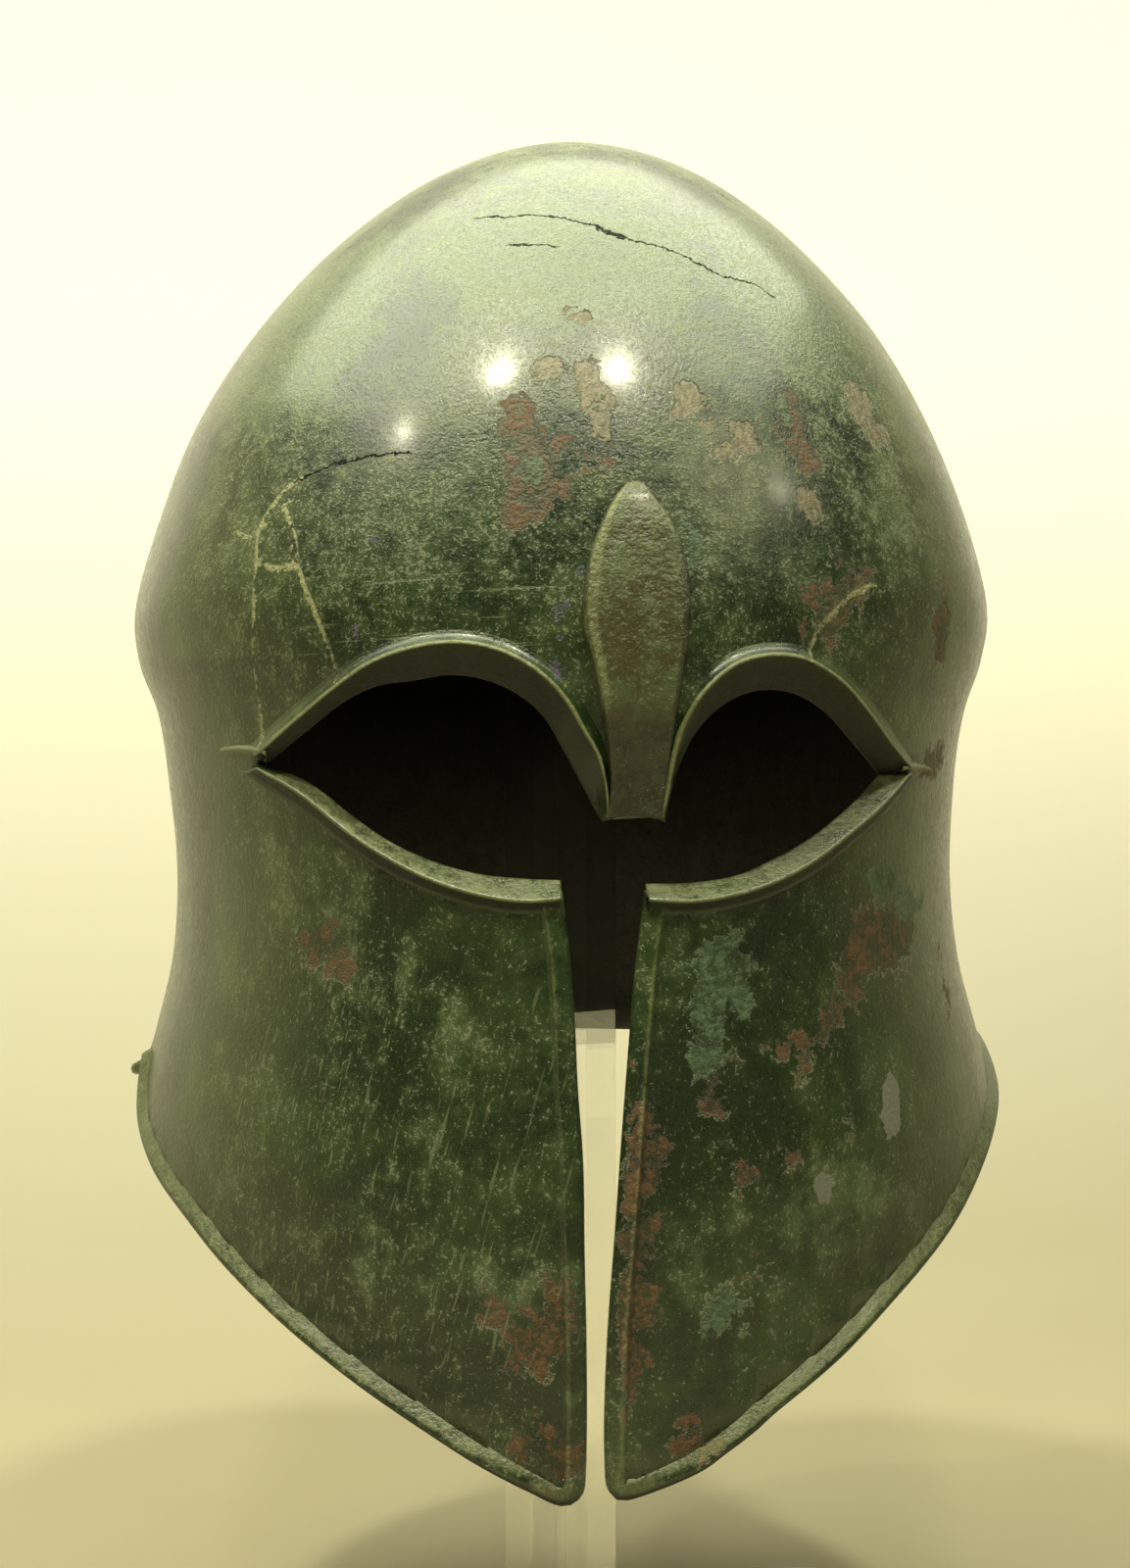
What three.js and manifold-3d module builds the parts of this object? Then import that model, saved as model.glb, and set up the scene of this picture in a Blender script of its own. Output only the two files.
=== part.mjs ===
// Corinthian helmet of beaten bronze, held up on a clear square post with a plain base.
// Millimetres. +Z is up, the face looks along -Y, and x grows towards the wearer's left hand.
// The base stands on z = 0 and the post runs up the z axis into the crown.
import * as THREE from 'three';
import Module from 'manifold-3d';

const wasm = await Module();
wasm.setup();

// Driving sizes
const TIP_Z = 78;             // height of the cheek tips above the table
const WALL = 1.5;             // beaten sheet
const SHELL_SECTORS = 64;     // facets round the outer skin
const LINING_SECTORS = 32;    // facets round the inner skin
const SHELL_RINGS = 26;       // facets from the tips to the crown, on both skins
const CREST = 2.7;            // the eye rims stand this far proud of the sheet
const LIP_DEPTH = 2.6;        // and their inner lip lies this far behind it
const BEAD_WIDE = 2.0;        // half width of the bead along the cheek edges
const BEAD_PROUD = 1.5;       // height of that bead
const BOSS_PROUD = 4.2;       // the leaf boss on the brow
const POST_SIDE = 18.6;       // square clear post, turned corner forwards
const POST_BEVEL = 0.6;
const BASE_SIDE = 150;        // plain clear base
const BASE_THICK = 10;
const PAD_R = 21;             // rest pad under the crown
const PAD_Z = 268;            // its underside, above the cheek tips
const FIT_GAP = 0.3;          // between one piece and the next

// Level sections of the outer skin. Heights are above the cheek tips. half is the half width,
// front and back the reach along y, full the roundness of the face side, shift the lean in x.
const SECTION_COLUMNS = ['z', 'half', 'front', 'back', 'full', 'shift'];
const SECTIONS = [
  [-14, 98.5, 122.0, 150, 1.80, 1.8],
  [30, 99.0, 121.5, 150, 1.80, 1.8],
  [60, 99.0, 120.5, 144, 1.80, 1.7],
  [80, 96.0, 119.0, 131, 1.82, 1.3],
  [100, 91.2, 117.5, 116, 1.85, 0.7],
  [120, 89.7, 116.5, 106, 1.90, 0.1],
  [140, 90.9, 117.0, 104, 1.95, -0.4],
  [155, 93.1, 118.0, 107, 2.00, -0.5],
  [167, 97.3, 118.5, 113, 2.00, -0.6],
  [180, 98.3, 117.5, 118, 2.03, -0.4],
  [200, 92.8, 113.0, 118, 2.05, -0.3],
  [220, 84.9, 105.0, 113, 2.05, -0.4],
  [240, 73.3, 92.0, 102, 2.03, 0.2],
  [258, 58.4, 75.5, 86, 2.00, 0.6],
  [272, 42.3, 56.0, 67, 2.00, 1.2],
  [282, 23.5, 33.0, 41, 2.00, 1.5],
  [288, 0.8, 1.0, 1.0, 2.00, 1.2],
];

// Eye rims, seen from the front, each from its outer corner inwards. crest is the raised line
// and lip the edge of the opening.
const RIM_COLUMNS = ['crestX', 'crestZ', 'lipX', 'lipZ'];
const RIMS = {
  upperLeft: [
    [-69.5, 144.6, -67.6, 143.0],
    [-61.3, 151.5, -59.4, 146.9],
    [-54.0, 157.4, -51.5, 153.8],
    [-46.8, 162.3, -44.8, 157.3],
    [-39.3, 165.0, -38.0, 158.8],
    [-31.1, 166.1, -31.0, 160.3],
    [-22.9, 164.8, -24.2, 159.2],
    [-15.5, 161.0, -18.3, 156.5],
    [-9.8, 155.6, -13.2, 152.1],
    [-5.6, 148.8, -9.0, 145.0],
    [-2.9, 144.0, -5.8, 139.0],
    [-1.5, 138.5, -3.4, 134.4],
    [-0.9, 132.0, -1.9, 131.7],
  ],
  lowerLeft: [
    [-69.5, 142.4, -67.6, 143.0],
    [-60.0, 135.7, -58.0, 138.9],
    [-51.0, 128.2, -49.6, 131.9],
    [-42.6, 123.0, -41.8, 126.6],
    [-34.2, 119.3, -33.6, 123.3],
    [-25.5, 117.0, -25.3, 121.6],
    [-17.5, 116.5, -17.2, 120.6],
    [-9.9, 116.9, -9.8, 120.3],
  ],
  upperRight: [
    [66.0, 142.3, 58.8, 141.1],
    [60.2, 147.0, 55.4, 144.2],
    [54.0, 153.2, 50.6, 148.4],
    [47.3, 159.1, 44.6, 153.5],
    [39.3, 163.2, 38.0, 156.8],
    [31.5, 163.9, 31.6, 157.6],
    [24.2, 161.9, 25.8, 156.3],
    [18.0, 156.8, 20.6, 153.1],
    [14.0, 150.7, 16.6, 148.8],
    [12.0, 144.5, 13.8, 143.6],
    [10.8, 138.0, 12.0, 138.2],
    [9.6, 132.0, 10.6, 131.5],
  ],
  lowerRight: [
    [66.0, 141.2, 58.8, 141.1],
    [57.8, 134.2, 53.9, 136.5],
    [50.6, 129.3, 47.6, 131.8],
    [42.6, 124.2, 40.6, 127.4],
    [34.8, 120.5, 33.4, 124.0],
    [26.4, 117.9, 25.5, 121.0],
    [16.5, 116.4, 16.0, 119.7],
    [7.0, 116.7, 6.8, 119.6],
  ],
};

// The slot between the cheeks, from the nasal down to the rounded tips.
const SLOT_COLUMNS = ['z', 'left', 'right'];
const SLOT = [
  [119, -9.8, 6.7],
  [105, -8.3, 4.9],
  [92, -7.5, 3.6],
  [80, -7.0, 2.5],
  [66, -6.1, 1.3],
  [50, -5.9, 0.0],
  [34, -5.6, -1.3],
  [18, -5.5, -2.0],
  [7, -5.7, -1.9],
  [3, -6.5, -1.0],
  [1, -8.2, 0.6],
];

// Lower edge of the sheet: degrees round from the face (minus is x below zero) and height.
// The dip at the ear is the notch between cheek and neck guard.
const HEM_COLUMNS = ['deg', 'z'];
const HEM = [
  [-180, 70], [-140, 70], [-110, 70], [-97, 70.5], [-93, 75], [-90, 77], [-87, 75],
  [-81, 63.5], [-70, 55], [-57, 46.7], [-48, 39.5], [-36, 29.2], [-27, 21], [-19, 13.5],
  [-12.5, 6.8], [-8, 2.4], [-5.5, 1.2], [-3.5, 3], [0, 4], [1.5, 2.6],
  [3.7, 3.4], [6.2, 6], [9, 9.4], [12, 13], [15, 16.9], [22.3, 24.6], [31, 34.2],
  [44, 46.2], [54, 55.4], [64, 62.8], [75, 69], [84, 75.5], [88, 78], [92, 76],
  [96, 71], [110, 70], [140, 70], [180, 70],
];

// Leaf boss running down into the nasal: its two sides and how proud it stands.
const BOSS_COLUMNS = ['z', 'left', 'right', 'proud'];
const BOSS = [
  [197.6, 3.4, 6.4, 1.0],
  [195.4, 1.0, 8.2, 2.6],
  [191.5, -1.4, 11.2, 3.8],
  [187.0, -3.3, 13.3, 4.2],
  [181.5, -5.1, 14.8, 4.2],
  [175.0, -5.9, 15.4, 4.2],
  [168.5, -5.8, 15.1, 4.1],
  [161.5, -4.0, 14.2, 4.0],
  [155.0, -2.7, 13.2, 3.8],
  [148.0, -1.6, 12.2, 3.5],
  [140.0, -0.9, 11.3, 3.2],
  [134.5, -1.3, 10.6, 3.0],
  [132.0, -1.8, 10.3, 2.8],
];

const mix = (a, b, t) => a + (b - a) * t;
const row = (columns, values) => Object.fromEntries(columns.map((name, i) => [name, values[i]]));

// A smooth curve through the rows of a table, read at u rows from the top.
function tableAt(table, u) {
  const last = table.length - 1;
  const k = Math.min(Math.floor(u), last - 1);
  const t = u - k;
  const pick = i => table[Math.min(Math.max(i, 0), last)];
  const [a, b, c, d] = [pick(k - 1), pick(k), pick(k + 1), pick(k + 2)];
  return b.map((_, i) => {
    const before = k === 0 ? 2 * b[i] - c[i] : a[i];
    const after = k + 2 > last ? 2 * c[i] - b[i] : d[i];
    const bend = 2 * before - 5 * b[i] + 4 * c[i] - after;
    const twist = -before + 3 * b[i] - 3 * c[i] + after;
    return 0.5 * (2 * b[i] + (c[i] - before) * t + bend * t * t + twist * t * t * t);
  });
}

// Straight-line reading of a table on its first column.
function readAt(table, key) {
  let i = 0;
  while (i < table.length - 2 && (table[i + 1][0] - key) * (table[1][0] - table[0][0]) < 0) i++;
  const [a, b] = [table[i], table[i + 1]];
  const t = Math.min(Math.max((key - a[0]) / (b[0] - a[0]), 0), 1);
  return a.map((v, k) => mix(v, b[k], t));
}

const FINE = 480;
const fineSections = [];
for (let i = 0; i <= FINE; i++) {
  fineSections.push(tableAt(SECTIONS, (SECTIONS.length - 1) * i / FINE));
}

// Point on the outer skin at an angle round from the face, for one section.
function ringPoint(values, angle) {
  const s = row(SECTION_COLUMNS, values);
  const reach = Math.cos(angle) >= 0 ? s.front : s.back;
  const power = Math.cos(angle) >= 0 ? s.full : 2;
  const across = Math.pow(Math.abs(Math.sin(angle)) / s.half, power);
  const along = Math.pow(Math.abs(Math.cos(angle)) / reach, power);
  const r = Math.pow(across + along, -1 / power);
  return new THREE.Vector3(s.shift + r * Math.sin(angle), -r * Math.cos(angle), s.z);
}

const skin = (angle, z) => ringPoint(readAt(fineSections, z), angle);

// Outward normal of the skin, from its slopes round and up.
function skinNormal(angle, z) {
  const round = skin(angle + 0.01, z).sub(skin(angle - 0.01, z));
  const up = skin(angle, z + 0.4).sub(skin(angle, z - 0.4));
  return round.cross(up).normalize();
}

// The skin point seen at (x, z) from straight in front.
function faceAngle(x, z) {
  const s = row(SECTION_COLUMNS, readAt(fineSections, z));
  const across = Math.min(Math.abs(x - s.shift) / s.half, 0.999);
  const y = s.front * Math.pow(1 - Math.pow(across, s.full), 1 / s.full);
  return Math.atan2(x - s.shift, y);
}

// Triangles of a tube of rings, each ring the same number of points, with flat ends.
function tubeGeometry(rings, closed = false) {
  const points = rings.flat();
  const count = rings[0].length;
  const faces = [];
  const spans = closed ? rings.length : rings.length - 1;
  for (let i = 0; i < spans; i++) {
    const a = i * count;
    const b = ((i + 1) % rings.length) * count;
    for (let k = 0; k < count; k++) {
      const n = (k + 1) % count;
      faces.push([a + k, a + n, b + n], [a + k, b + n, b + k]);
    }
  }
  if (!closed) {
    for (const [first, ring, flip] of [[0, rings[0], true], [(rings.length - 1) * count, rings.at(-1), false]]) {
      const middle = ring.reduce((sum, p) => sum.add(p), new THREE.Vector3()).multiplyScalar(1 / count);
      points.push(middle);
      const m = points.length - 1;
      for (let k = 0; k < count; k++) {
        const n = (k + 1) % count;
        faces.push(flip ? [first + n, first + k, m] : [first + k, first + n, m]);
      }
    }
  }
  const geometry = new THREE.BufferGeometry();
  geometry.setAttribute('position', new THREE.Float32BufferAttribute(points.flatMap(p => p.toArray()), 3));
  geometry.setIndex(faces.flat());
  return geometry;
}

// Welds points closer than a step and drops the triangles that fold away, in pairs too.
function weld(position, index, step) {
  const seen = new Map();
  const coords = [];
  const ids = position.map(p => {
    const key = p.map(v => Math.round(v / step)).join(',');
    if (!seen.has(key)) {
      seen.set(key, coords.length);
      coords.push(p);
    }
    return seen.get(key);
  });
  const triangles = new Map();
  for (let i = 0; i < index.length; i += 3) {
    const t = [ids[index[i]], ids[index[i + 1]], ids[index[i + 2]]];
    if (new Set(t).size < 3) continue;
    const key = [...t].sort((a, b) => a - b).join(',');
    if (triangles.has(key)) triangles.delete(key);
    else triangles.set(key, t);
  }
  return { coords, triangles: [...triangles.values()] };
}

// Hands a closed geometry to the solid cutter, facing outwards.
function solid(geometry) {
  const attribute = geometry.getAttribute('position');
  const order = Array.from({ length: attribute.count }, (_, i) => i);
  const index = geometry.getIndex() ? Array.from(geometry.getIndex().array) : order;
  const points = order.map(i => [attribute.getX(i), attribute.getY(i), attribute.getZ(i)]);
  const { coords, triangles } = weld(points, index, 1e-4);
  const at = i => new THREE.Vector3(...coords[i]);
  const volume = triangles.reduce((sum, [a, b, c]) => sum + at(a).dot(at(b).cross(at(c))), 0);
  const facing = volume < 0 ? triangles.map(([a, b, c]) => [a, c, b]) : triangles;
  return new wasm.Manifold(new wasm.Mesh({
    numProp: 3,
    vertProperties: new Float32Array(coords.flat()),
    triVerts: new Uint32Array(facing.flat()),
  }));
}

function toGeometry(body) {
  const mesh = body.getMesh();
  const points = [];
  for (let i = 0; i < mesh.vertProperties.length; i += mesh.numProp) {
    points.push(Array.from(mesh.vertProperties.slice(i, i + 3)));
  }
  const { coords, triangles } = weld(points, Array.from(mesh.triVerts), 0.004);
  const geometry = new THREE.BufferGeometry();
  geometry.setAttribute('position', new THREE.Float32BufferAttribute(coords.flat(), 3));
  geometry.setIndex(triangles.flat());
  return geometry;
}

// A closed bell under the outer skin, set in from it by a distance along the normal.
function bell(inset, sectors, ringCount, extraDrop) {
  const rings = [];
  const last = SECTIONS.length - 1;
  for (let i = 0; i <= ringCount; i++) {
    const u = last * Math.pow(i / ringCount, 0.86);
    const values = tableAt(SECTIONS, u);
    const ring = [];
    for (let k = 0; k < sectors; k++) {
      const angle = 2 * Math.PI * k / sectors;
      const p = ringPoint(values, angle);
      if (inset > 0) {
        const n = skinNormal(angle, Math.min(values[0], 287.2));
        p.addScaledVector(n, -inset);
      }
      ring.push(p);
    }
    rings.push(ring);
  }
  if (inset > 0) {
    const top = rings.at(-1);
    top.forEach((p, k) => {
      const angle = 2 * Math.PI * k / sectors;
      p.set(1.2 + 0.8 * Math.sin(angle), -0.8 * Math.cos(angle), 288 - inset);
    });
  }
  if (extraDrop > 0) rings.unshift(rings[0].map(p => p.clone().setZ(p.z - extraDrop)));
  return solid(tubeGeometry(rings));
}

// Everything under the hem, as a ring wide enough to trim the sheet.
function hemCutter() {
  const rings = [];
  const steps = 108;
  for (let i = 0; i < steps; i++) {
    const deg = -180 + 360 * i / steps;
    const angle = THREE.MathUtils.degToRad(deg);
    const z = readAt(HEM, deg)[1] + 1;
    const away = new THREE.Vector3(Math.sin(angle), -Math.cos(angle), 0);
    rings.push([[40, z], [230, z], [230, -40], [40, -40]].map(([r, h]) => away.clone().multiplyScalar(r).setZ(h)));
  }
  return solid(tubeGeometry(rings, true));
}

function rimStations(table, count) {
  const out = [];
  for (let i = 0; i <= count; i++) {
    out.push(row(RIM_COLUMNS, tableAt(table, (table.length - 1) * i / count)));
  }
  return out;
}

const RIM_STEPS = { upperLeft: 22, lowerLeft: 13, upperRight: 20, lowerRight: 13 };

// Both eyes and the cheek slot as one outline, pushed through the face.
function faceCutter() {
  const crest = key => rimStations(RIMS[key], RIM_STEPS[key]).map(s => [s.crestX, s.crestZ]);
  const slot = SLOT.map(v => row(SLOT_COLUMNS, v));
  const outline = [
    ...crest('lowerLeft').reverse(),
    ...crest('upperLeft'),
    [1.5, 132.9], [4.3, 133.4], [7.2, 132.9],
    ...crest('upperRight').reverse(),
    ...crest('lowerRight'),
    ...slot.map(s => [s.right + (s.z > 110 ? 0 : 0.8), s.z]),
    [6, -1], [14, -30], [-24, -30], [-13, -0.6],
    ...slot.reverse().map(s => [s.left - (s.z > 110 ? 0 : 0.8), s.z]),
  ];
  const shape = new THREE.Shape(outline.map(([x, z]) => new THREE.Vector2(x, z)));
  const block = new THREE.ExtrudeGeometry(shape, { depth: 170, bevelEnabled: false });
  block.rotateX(Math.PI / 2);
  return solid(block);
}

// A point over the face at (x, z), lifted along the skin's normal.
function over(x, z, lift) {
  const angle = faceAngle(x, z);
  return skin(angle, z).addScaledVector(skinNormal(angle, z), lift);
}

// Raised eye rim: a crest just outside the cut, a slope down to the lip, and a back inside.
function eyeRim(key) {
  const rings = rimStations(RIMS[key], RIM_STEPS[key]).map((s, i, all) => {
    const inX = s.lipX - s.crestX;
    const inZ = s.lipZ - s.crestZ;
    const wide = Math.max(Math.hypot(inX, inZ), 0.6);
    const [ux, uz] = [inX / wide, inZ / wide];
    const at = (along, lift) => over(s.crestX + ux * along, s.crestZ + uz * along, lift);
    const end = Math.min(i, all.length - 1 - i) < 1 ? 0.75 : 1;
    const depth = Math.min(LIP_DEPTH, wide * 0.6);
    return [
      at(-1.9, 0.1),
      at(-0.7, CREST * end),
      at(0.3, CREST * end),
      at(wide, -depth),
      at(wide - 0.2, -depth - 1.5),
      at(-1.9, -WALL + 0.3),
    ];
  });
  return solid(tubeGeometry(rings));
}

// Short raised line that carries the brow rim on past the corner of the eye.
function tail(fromX, fromZ, toX, toZ) {
  const rings = [];
  for (let i = 0; i <= 5; i++) {
    const t = i / 5;
    const [x, z] = [mix(fromX, toX, t), mix(fromZ, toZ, t)];
    const high = CREST * mix(0.75, 0.15, t);
    rings.push([over(x, z - 1.4, -0.5), over(x, z - 0.5, high), over(x, z + 0.5, high), over(x, z + 1.4, -0.5)]);
  }
  return solid(tubeGeometry(rings));
}

// Bead along a cheek's front edge, round its tip and back along the hem to the ear notch.
function cheekBead(side) {
  const path = [];
  const frontEdge = SLOT.slice(0, 9).map(v => row(SLOT_COLUMNS, v));
  const away = side === 'left' ? -1 : 1;
  frontEdge.forEach(s => path.push([s[side] + away * BEAD_WIDE * 0.9, s.z - (s.z > 115 ? 1.2 : 0)]));
  const corner = side === 'left' ? [[-7.9, 3.6], [-10.2, 2.2]] : [[0.3, 4.8], [2.5, 3.5]];
  corner.forEach(([x, z]) => path.push([x, z]));
  const marks = path.map(([x, z]) => ({ angle: faceAngle(x, z), z }));
  const hem = HEM.filter(([deg]) => (side === 'left' ? deg <= -8 && deg >= -88 : deg >= 6.2 && deg <= 88));
  if (side === 'left') hem.reverse();
  hem.forEach(([deg, z]) => marks.push({ angle: THREE.MathUtils.degToRad(deg), z: z + BEAD_WIDE * 0.9 }));
  const curve = new THREE.CatmullRomCurve3(marks.map(m => new THREE.Vector3(m.angle * 100, m.z, 0)));
  const steps = 34;
  const rings = [];
  for (let i = 0; i <= steps; i++) {
    const here = curve.getPointAt(i / steps);
    const next = curve.getPointAt(Math.min(i / steps + 0.004, 1));
    const last = curve.getPointAt(Math.max(i / steps - 0.004, 0));
    const p = skin(here.x / 100, here.y);
    const n = skinNormal(here.x / 100, here.y);
    const run = skin(next.x / 100, next.y).sub(skin(last.x / 100, last.y)).normalize();
    const side2 = new THREE.Vector3().crossVectors(n, run).normalize();
    const ring = [];
    const flare = i > 12 ? 0.9 : 0.3;
    for (const [w, h] of [[-1, -0.2], [-0.7, 0.75], [0, 1], [0.7, 0.75], [1, -0.2], [0.6, -1.35], [-0.6, -1.35]]) {
      const lift = h * BEAD_PROUD + (h > 0 ? flare : 0);
      ring.push(p.clone().addScaledVector(side2, w * BEAD_WIDE).addScaledVector(n, lift));
    }
    rings.push(ring);
  }
  return solid(tubeGeometry(rings));
}

// Flared and rolled rim of the neck guard, from one ear notch round the back to the other.
function neckRim() {
  const rings = [];
  const steps = 36;
  for (let i = 0; i <= steps; i++) {
    const deg = mix(97.5, 262.5, i / steps);
    const angle = THREE.MathUtils.degToRad(deg);
    const out = skin(angle, 72).sub(skin(angle, 72).setX(1.7).setY(0)).normalize();
    const foot = skin(angle, 79);
    const profile = [[-1.6, 2], [0.4, 2], [2.2, -3.6], [5.2, -6.6], [7.4, -6.8], [8.2, -8.4], [7.0, -9.8],
      [4.4, -9.4], [1.4, -7.4], [-1.6, -3]];
    rings.push(profile.map(([r, h]) => foot.clone().addScaledVector(out, r).setZ(79 + h)));
  }
  return solid(tubeGeometry(rings));
}

// Leaf boss: flat face, sloped sides, rooted in the sheet.
function leafBoss() {
  const rings = [];
  const steps = 17;
  for (let i = 0; i <= steps; i++) {
    const s = row(BOSS_COLUMNS, tableAt(BOSS, (BOSS.length - 1) * i / steps));
    const width = s.right - s.left;
    const slope = Math.min(2.0, width * 0.3);
    const middle = (s.left + s.right) / 2;
    rings.push([
      over(s.left, s.z, -1.2),
      over(s.left, s.z, 0.3),
      over(s.left + slope, s.z, s.proud),
      over(middle, s.z, s.proud + 0.2),
      over(s.right - slope, s.z, s.proud),
      over(s.right, s.z, 0.3),
      over(s.right, s.z, -1.2),
    ]);
  }
  return solid(tubeGeometry(rings));
}

// The nasal is a thick tongue of the same sheet, so the boss is backed down to its foot.
function nasalCore() {
  const rings = [];
  for (let i = 0; i <= 10; i++) {
    const z = mix(172, 132.0, i / 10);
    const s = row(BOSS_COLUMNS, readAt(BOSS, z));
    rings.push([over(s.left + 0.6, z, -2.9), over(s.left + 0.6, z, 0.6),
      over(s.right - 0.6, z, 0.6), over(s.right - 0.6, z, -2.9)]);
  }
  return solid(tubeGeometry(rings));
}

let shell = bell(0, SHELL_SECTORS, SHELL_RINGS, 0)
  .subtract(bell(WALL, LINING_SECTORS, SHELL_RINGS, 4))
  .subtract(hemCutter())
  .subtract(faceCutter());
const trims = [
  eyeRim('upperLeft'), eyeRim('lowerLeft'), eyeRim('upperRight'), eyeRim('lowerRight'),
  tail(-67.5, 145.6, -77.5, 146.4), tail(64.5, 142.4, 74.0, 142.0),
  cheekBead('left'), cheekBead('right'), neckRim(), leafBoss(), nasalCore(),
];
for (const piece of trims) shell = shell.add(piece);

// Square post with eased corners, one corner to the front.
function postGeometry() {
  const half = POST_SIDE / 2;
  const cut = half - POST_BEVEL;
  const corners = [[half, -cut], [half, cut], [cut, half], [-cut, half],
    [-half, cut], [-half, -cut], [-cut, -half], [cut, -half]];
  const shape = new THREE.Shape(corners.map(([x, y]) => new THREE.Vector2(x, y)));
  const height = TIP_Z + PAD_Z - FIT_GAP - BASE_THICK - FIT_GAP;
  const post = new THREE.ExtrudeGeometry(shape, { depth: height, bevelEnabled: false });
  post.rotateZ(Math.PI / 4);
  post.translate(0, 0, BASE_THICK + FIT_GAP);
  return post;
}

function baseGeometry() {
  const half = BASE_SIDE / 2;
  const ease = 1.2;
  const shape = new THREE.Shape();
  shape.moveTo(-half + ease, -half + ease);
  shape.lineTo(half - ease, -half + ease);
  shape.lineTo(half - ease, half - ease);
  shape.lineTo(-half + ease, half - ease);
  const options = { depth: BASE_THICK - 2 * ease, bevelThickness: ease, bevelSize: ease, bevelSegments: 1 };
  const base = new THREE.ExtrudeGeometry(shape, { ...options, bevelEnabled: true });
  base.translate(0, 0, ease);
  return base;
}

// Round pad whose top follows the inside of the crown.
function padGeometry() {
  const profile = [[0, PAD_Z], [PAD_R - 1, PAD_Z], [PAD_R, PAD_Z + 1], [PAD_R, 300], [0, 300]];
  const blank = new THREE.LatheGeometry(profile.map(([r, z]) => new THREE.Vector2(r, z)), 40);
  blank.rotateX(Math.PI / 2);
  return toGeometry(solid(blank).intersect(bell(WALL + FIT_GAP, LINING_SECTORS, SHELL_RINGS, 0)));
}

const finishes = {
  bronze: new THREE.MeshStandardMaterial({ color: 0x3c4a2a, metalness: 0.7, roughness: 0.4 }),
  clear: new THREE.MeshStandardMaterial({ color: 0xd9dccb, metalness: 0, roughness: 0.1 }),
  pad: new THREE.MeshStandardMaterial({ color: 0xcfd2c0, metalness: 0, roughness: 0.3 }),
};

const group = new THREE.Group();
function place(name, geometry, finish, lift) {
  const mesh = new THREE.Mesh(geometry, finishes[finish].clone());
  mesh.name = name;
  mesh.geometry.translate(0, 0, lift);
  group.add(mesh);
}
place('helmet_shell', toGeometry(shell), 'bronze', TIP_Z);
place('stand_post', postGeometry(), 'clear', 0);
place('stand_base', baseGeometry(), 'clear', 0);
place('crown_pad', padGeometry(), 'pad', TIP_Z);

export default group;
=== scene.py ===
# %% [markdown]
# # Bronze corinthian helmet on a clear post
# A helmet of this kind was beaten out of one sheet of bronze. The crown was raised first, the
# brow and neck were drawn in, and the nasal, the eye rims, the bead along the cheeks and the
# rolled neck guard were worked last out of the same metal. So the model is one bent sheet too,
# and each raised edge is a strip that grows out of it.

# %% The frame
import math
import bpy
import bmesh
import numpy as np
from mathutils import Matrix, Vector


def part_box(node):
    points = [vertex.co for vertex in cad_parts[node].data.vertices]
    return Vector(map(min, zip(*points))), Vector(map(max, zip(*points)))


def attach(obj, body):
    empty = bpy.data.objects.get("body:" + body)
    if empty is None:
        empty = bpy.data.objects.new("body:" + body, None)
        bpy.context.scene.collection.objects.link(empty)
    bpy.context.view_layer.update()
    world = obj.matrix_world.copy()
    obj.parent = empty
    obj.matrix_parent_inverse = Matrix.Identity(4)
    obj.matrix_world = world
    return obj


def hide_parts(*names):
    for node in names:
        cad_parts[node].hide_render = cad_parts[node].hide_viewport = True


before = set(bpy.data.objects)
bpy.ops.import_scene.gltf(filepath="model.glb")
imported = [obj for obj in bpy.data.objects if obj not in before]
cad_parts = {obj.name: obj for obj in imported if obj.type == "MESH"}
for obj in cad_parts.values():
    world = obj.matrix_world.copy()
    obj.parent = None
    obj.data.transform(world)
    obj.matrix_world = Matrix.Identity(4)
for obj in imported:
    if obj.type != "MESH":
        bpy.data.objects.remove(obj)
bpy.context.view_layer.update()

MM = 0.001
TIP_Z = 78.0  # height of the cheek tips over the table, in millimetres
WALL = 1.5


def show(thing):
    """Put an object or a light into the scene."""
    bpy.context.scene.collection.objects.link(thing)
    return thing


# %% [markdown]
# ## The camera
# The photo is taken level with the brow from about 65 cm, a little to the left of the nose.
# The post's edges stay upright in it, so the camera has no tilt. The frame is 1153 by 1600
# pixels, and the lens follows from its 2815 pixels of focal length.

# %% Camera
PHOTO = (1153, 1600)
FOCAL_PX = 2815.0
SENSOR = 36.0
CAMERA_AWAY = 650.0
CAMERA_ASIDE = 1.0
CAMERA_Z = TIP_Z + 139.0
CAMERA_TURN = math.radians(5.0)

camera = show(bpy.data.objects.new("camera", bpy.data.cameras.new("camera")))
bpy.context.scene.camera = camera
camera.data.lens = FOCAL_PX * SENSOR / max(PHOTO)
camera.data.clip_start = 0.02
ahead = Vector((math.sin(CAMERA_TURN), math.cos(CAMERA_TURN), 0))
across = Vector((math.cos(CAMERA_TURN), -math.sin(CAMERA_TURN), 0))
camera.location = (-ahead * CAMERA_AWAY + across * CAMERA_ASIDE + Vector((0, 0, CAMERA_Z))) * MM
camera.rotation_euler = (math.pi / 2, 0, -CAMERA_TURN)
print("lens", round(camera.data.lens, 2), "mm, camera at", [round(v, 3) for v in camera.location])

# %% [markdown]
# ## The form of the sheet
# The helmet is a stack of level sections. Each is rounder at the back and a little keeled at
# the face, and leans slightly to one side where the old metal has moved. The rows give the
# height above the cheek tips and the half width, the reach to the front and back, the
# roundness of the face side and the lean.

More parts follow.
